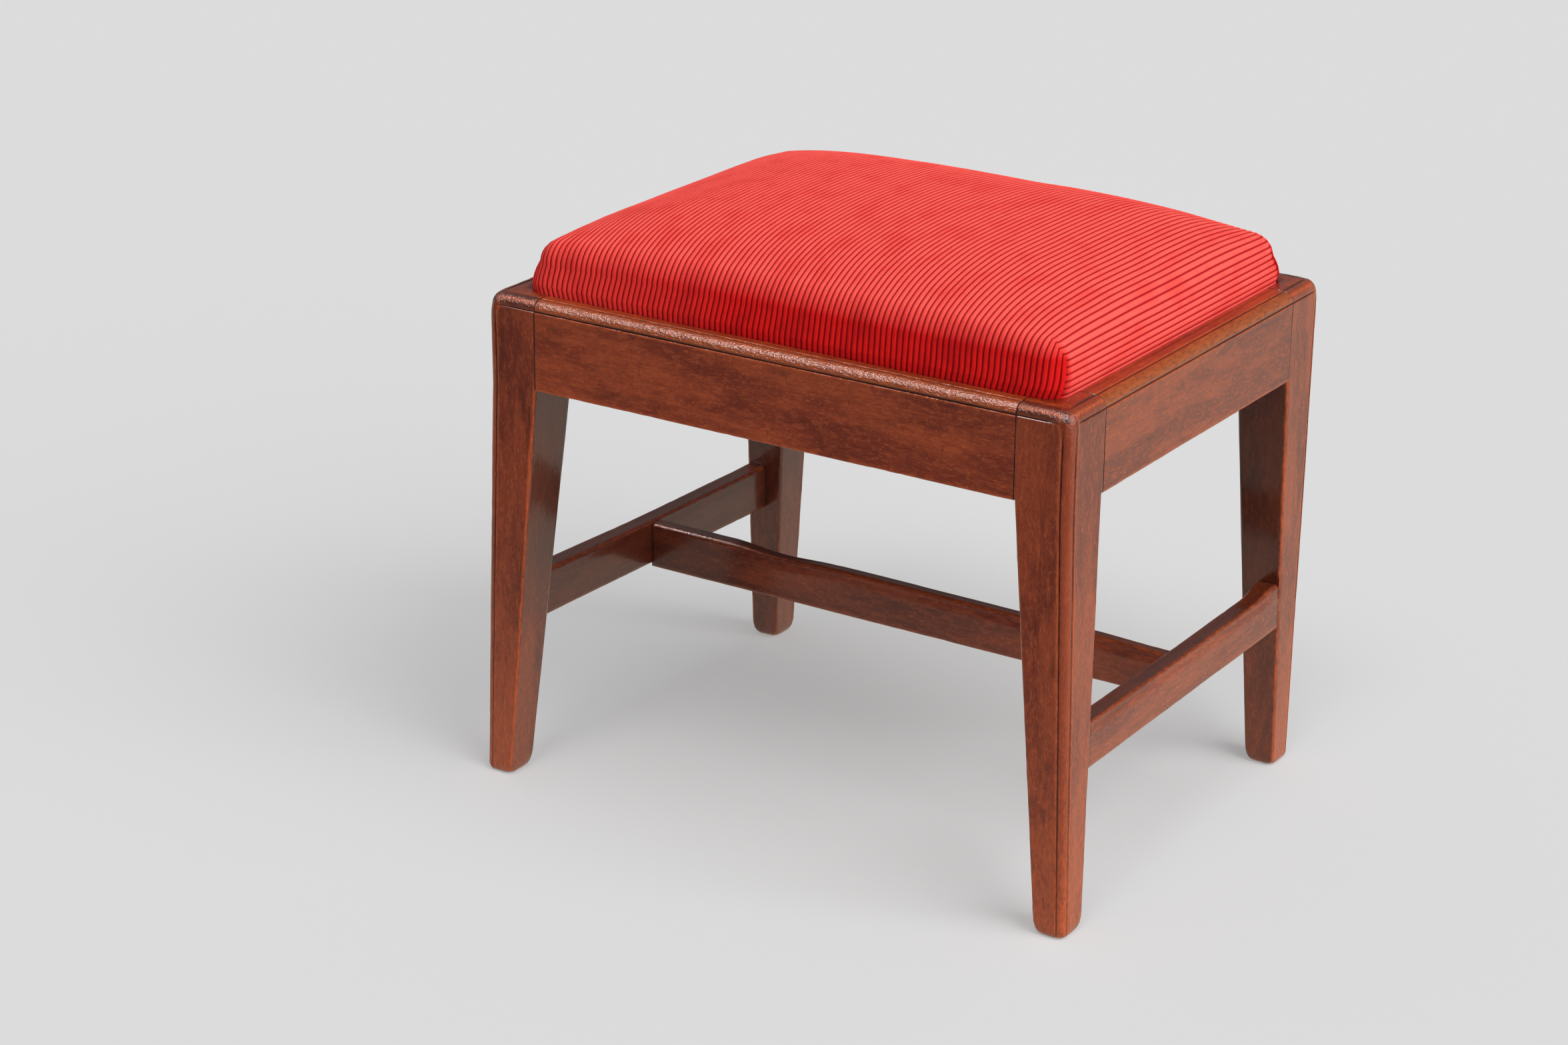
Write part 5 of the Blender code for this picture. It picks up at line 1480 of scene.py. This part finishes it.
def woven_sheet(columns, rows, half_x, half_y, height_at, thickness):
    """A sheet with its flat place as its UV, as high as a function of X says, then made thick."""
    bm = bmesh.new()
    bmesh.ops.create_grid(bm, x_segments=columns, y_segments=rows, size=1)
    for vert in bm.verts:
        x, y = vert.co.x * half_x, vert.co.y * half_y
        vert.co = (x, y, height_at(x))
    weave = bm.loops.layers.uv.new("weave")
    for face in bm.faces:
        for loop in face.loops:
            loop[weave].uv = loop.vert.co.xy
    bmesh.ops.solidify(bm, geom=bm.faces[:], thickness=-thickness)
    return bm


# %% Webbing
STRAP_WIDTH = 50 * MM
STRAP_THICKNESS = 1 * MM
STRAP_LOW = 264.6 * MM
STRAP_HIGH = 265.9 * MM
STRAP_RISE = 5 * MM
STRAP_SETBACK = 4 * MM
STRAP_STEP = 4 * MM
STRAP_ROWS = 8
STRIPE = STRAP_WIDTH / 2 - 5 * MM
LONG_STRAPS = {"front": -SEAT_OPENING_Y / 2, "back": SEAT_OPENING_Y / 2}
CROSS_STRAPS = {"left": -SEAT_OPENING_X * 2 / 3, "middle": 0, "right": SEAT_OPENING_X * 2 / 3}


def strap(name, half_length, crossings, first_over, centre, turn_angle, material):
    """A strap that rises over one crossing and lies under the next."""
    risen = crossings[0 if first_over else 1::2]

    def height_at(along):
        shares = [clamp((STRAP_WIDTH / 2 + STRAP_RISE - abs(along - crossing)) / STRAP_RISE)
                  for crossing in risen]
        return STRAP_LOW + (STRAP_HIGH - STRAP_LOW) * smooth(max(shares))

    columns = round(2 * half_length / STRAP_STEP)
    bm = woven_sheet(columns, STRAP_ROWS, half_length, STRAP_WIDTH / 2, height_at, STRAP_THICKNESS)
    bmesh.ops.translate(bm, verts=bm.verts, vec=(0, centre, -STRAP_THICKNESS / 2))
    bmesh.ops.rotate(bm, verts=bm.verts, matrix=Matrix.Rotation(math.radians(turn_angle), 3, "Z"))
    bmesh.ops.translate(bm, verts=bm.verts, vec=(CENTRE_X, 0, 0))
    node = "webbing_" + name
    obj = finish_piece("woven_" + node, bm, "drop_in_seat", material, [node])


jute_webbing = woven_jute("woven_jute_webbing", WEBBING_THREAD, "#B49468", "#6E5334", STRIPE)
for index, (name, centre) in enumerate(LONG_STRAPS.items()):
    strap("long_" + name, SEAT_HALF_X - STRAP_SETBACK, list(CROSS_STRAPS.values()), index == 0, centre, 0,
          jute_webbing)
for index, (name, centre) in enumerate(CROSS_STRAPS.items()):
    strap("cross_" + name, SEAT_HALF_Y - STRAP_SETBACK, list(LONG_STRAPS.values()), index == 1, -centre, 90,
          jute_webbing)

# %% Hessian
HESSIAN_BOTTOM = 266.7 * MM
HESSIAN_THICKNESS = 0.6 * MM
HESSIAN_SETBACK = 7 * MM
HESSIAN_COLUMNS = 40
HESSIAN_ROWS = 32
hessian_x, hessian_y = SEAT_HALF_X - HESSIAN_SETBACK, SEAT_HALF_Y - HESSIAN_SETBACK
bm = woven_sheet(HESSIAN_COLUMNS, HESSIAN_ROWS, hessian_x, hessian_y, lambda x: 0, HESSIAN_THICKNESS)
lowest = min(vert.co.z for vert in bm.verts)
bmesh.ops.translate(bm, verts=bm.verts, vec=(CENTRE_X, 0, HESSIAN_BOTTOM - lowest))
hessian = finish_piece("woven_hessian", bm, "drop_in_seat",
                       woven_jute("woven_hessian", HESSIAN_THREAD, "#BFA272", "#806338"), ["base_hessian"])

# %% [markdown]
# Cut tacks. Blued steel, with a slightly domed head hammered a little flat. A tack is a profile spun once
# round, set where the frame's own tack is: cover tacks point up into the seat frame, webbing tacks down.

# %% Tacks
# Half a tack, head first: distance from its axis and along it, in millimetres.
TACK_OUTLINE = ((0, 0), (1.1, 0.05), (2.2, 0.28), (2.9, 0.6), (3, 0.8), (0.9, 0.8), (0.8, 3), (0.7, 6),
                (0, 8.8))
TACK_LENGTH = 8.8
TACK_STEPS = 16
PATCHES_PER_METRE = 900
print("tack outline:", len(TACK_OUTLINE), "points, turned in", TACK_STEPS, "steps")


def blued_steel():
    """Blued carbon steel: a dark, slightly brown oxide skin, rubbed brighter in patches."""
    material, tree, shader = new_material("blued_carbon_steel")
    own = add_node(tree, "TexCoord", output="Object")
    patches = add_node(tree, "TexNoise", {"Vector": own, "Scale": PATCHES_PER_METRE, "Detail": 3})
    rough = add_node(tree, "MapRange", {"Value": patches, "To Min": 0.3, "To Max": 0.6})
    bump = add_node(tree, "Bump", {"Strength": 0.4, "Distance": 0.1 * MM, "Height": patches})
    colour = lay_colours(tree, "#2B2A30", [(patches, 0.35, 0.7, 1, "#5A4A42")], "LINEAR")
    set_inputs(shader, {"Base Color": colour, "Roughness": rough, "Metallic": 1, "Normal": bump})
    return material


def tack(node, head_up, material):
    """A tack spun about its own axis, in the place of the frame's tack of this name."""
    low, high = (Vector(corner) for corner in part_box(node))
    middle = (low + high) / 2
    bm = bmesh.new()
    verts = [bm.verts.new((x * MM, 0, z / TACK_LENGTH * (high.z - low.z))) for x, z in TACK_OUTLINE]
    edges = [bm.edges.new(pair) for pair in zip(verts, verts[1:])]
    bmesh.ops.spin(bm, geom=verts + edges, cent=(0, 0, 0), axis=(0, 0, 1), angle=math.tau, steps=TACK_STEPS,
                   use_merge=True)
    bmesh.ops.remove_doubles(bm, verts=bm.verts, dist=0.005 * MM)
    if head_up:
        bmesh.ops.rotate(bm, verts=bm.verts, matrix=Matrix.Rotation(math.pi, 3, "X"))
    bmesh.ops.translate(bm, verts=bm.verts, vec=(middle.x, middle.y, high.z if head_up else low.z))
    finish_piece("cut_" + node, bm, "drop_in_seat", material, [node])


steel = blued_steel()
for node in sorted(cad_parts):
    if node.startswith(("cover_tack_", "webbing_tack_")):
        tack(node, node.startswith("webbing"), steel)
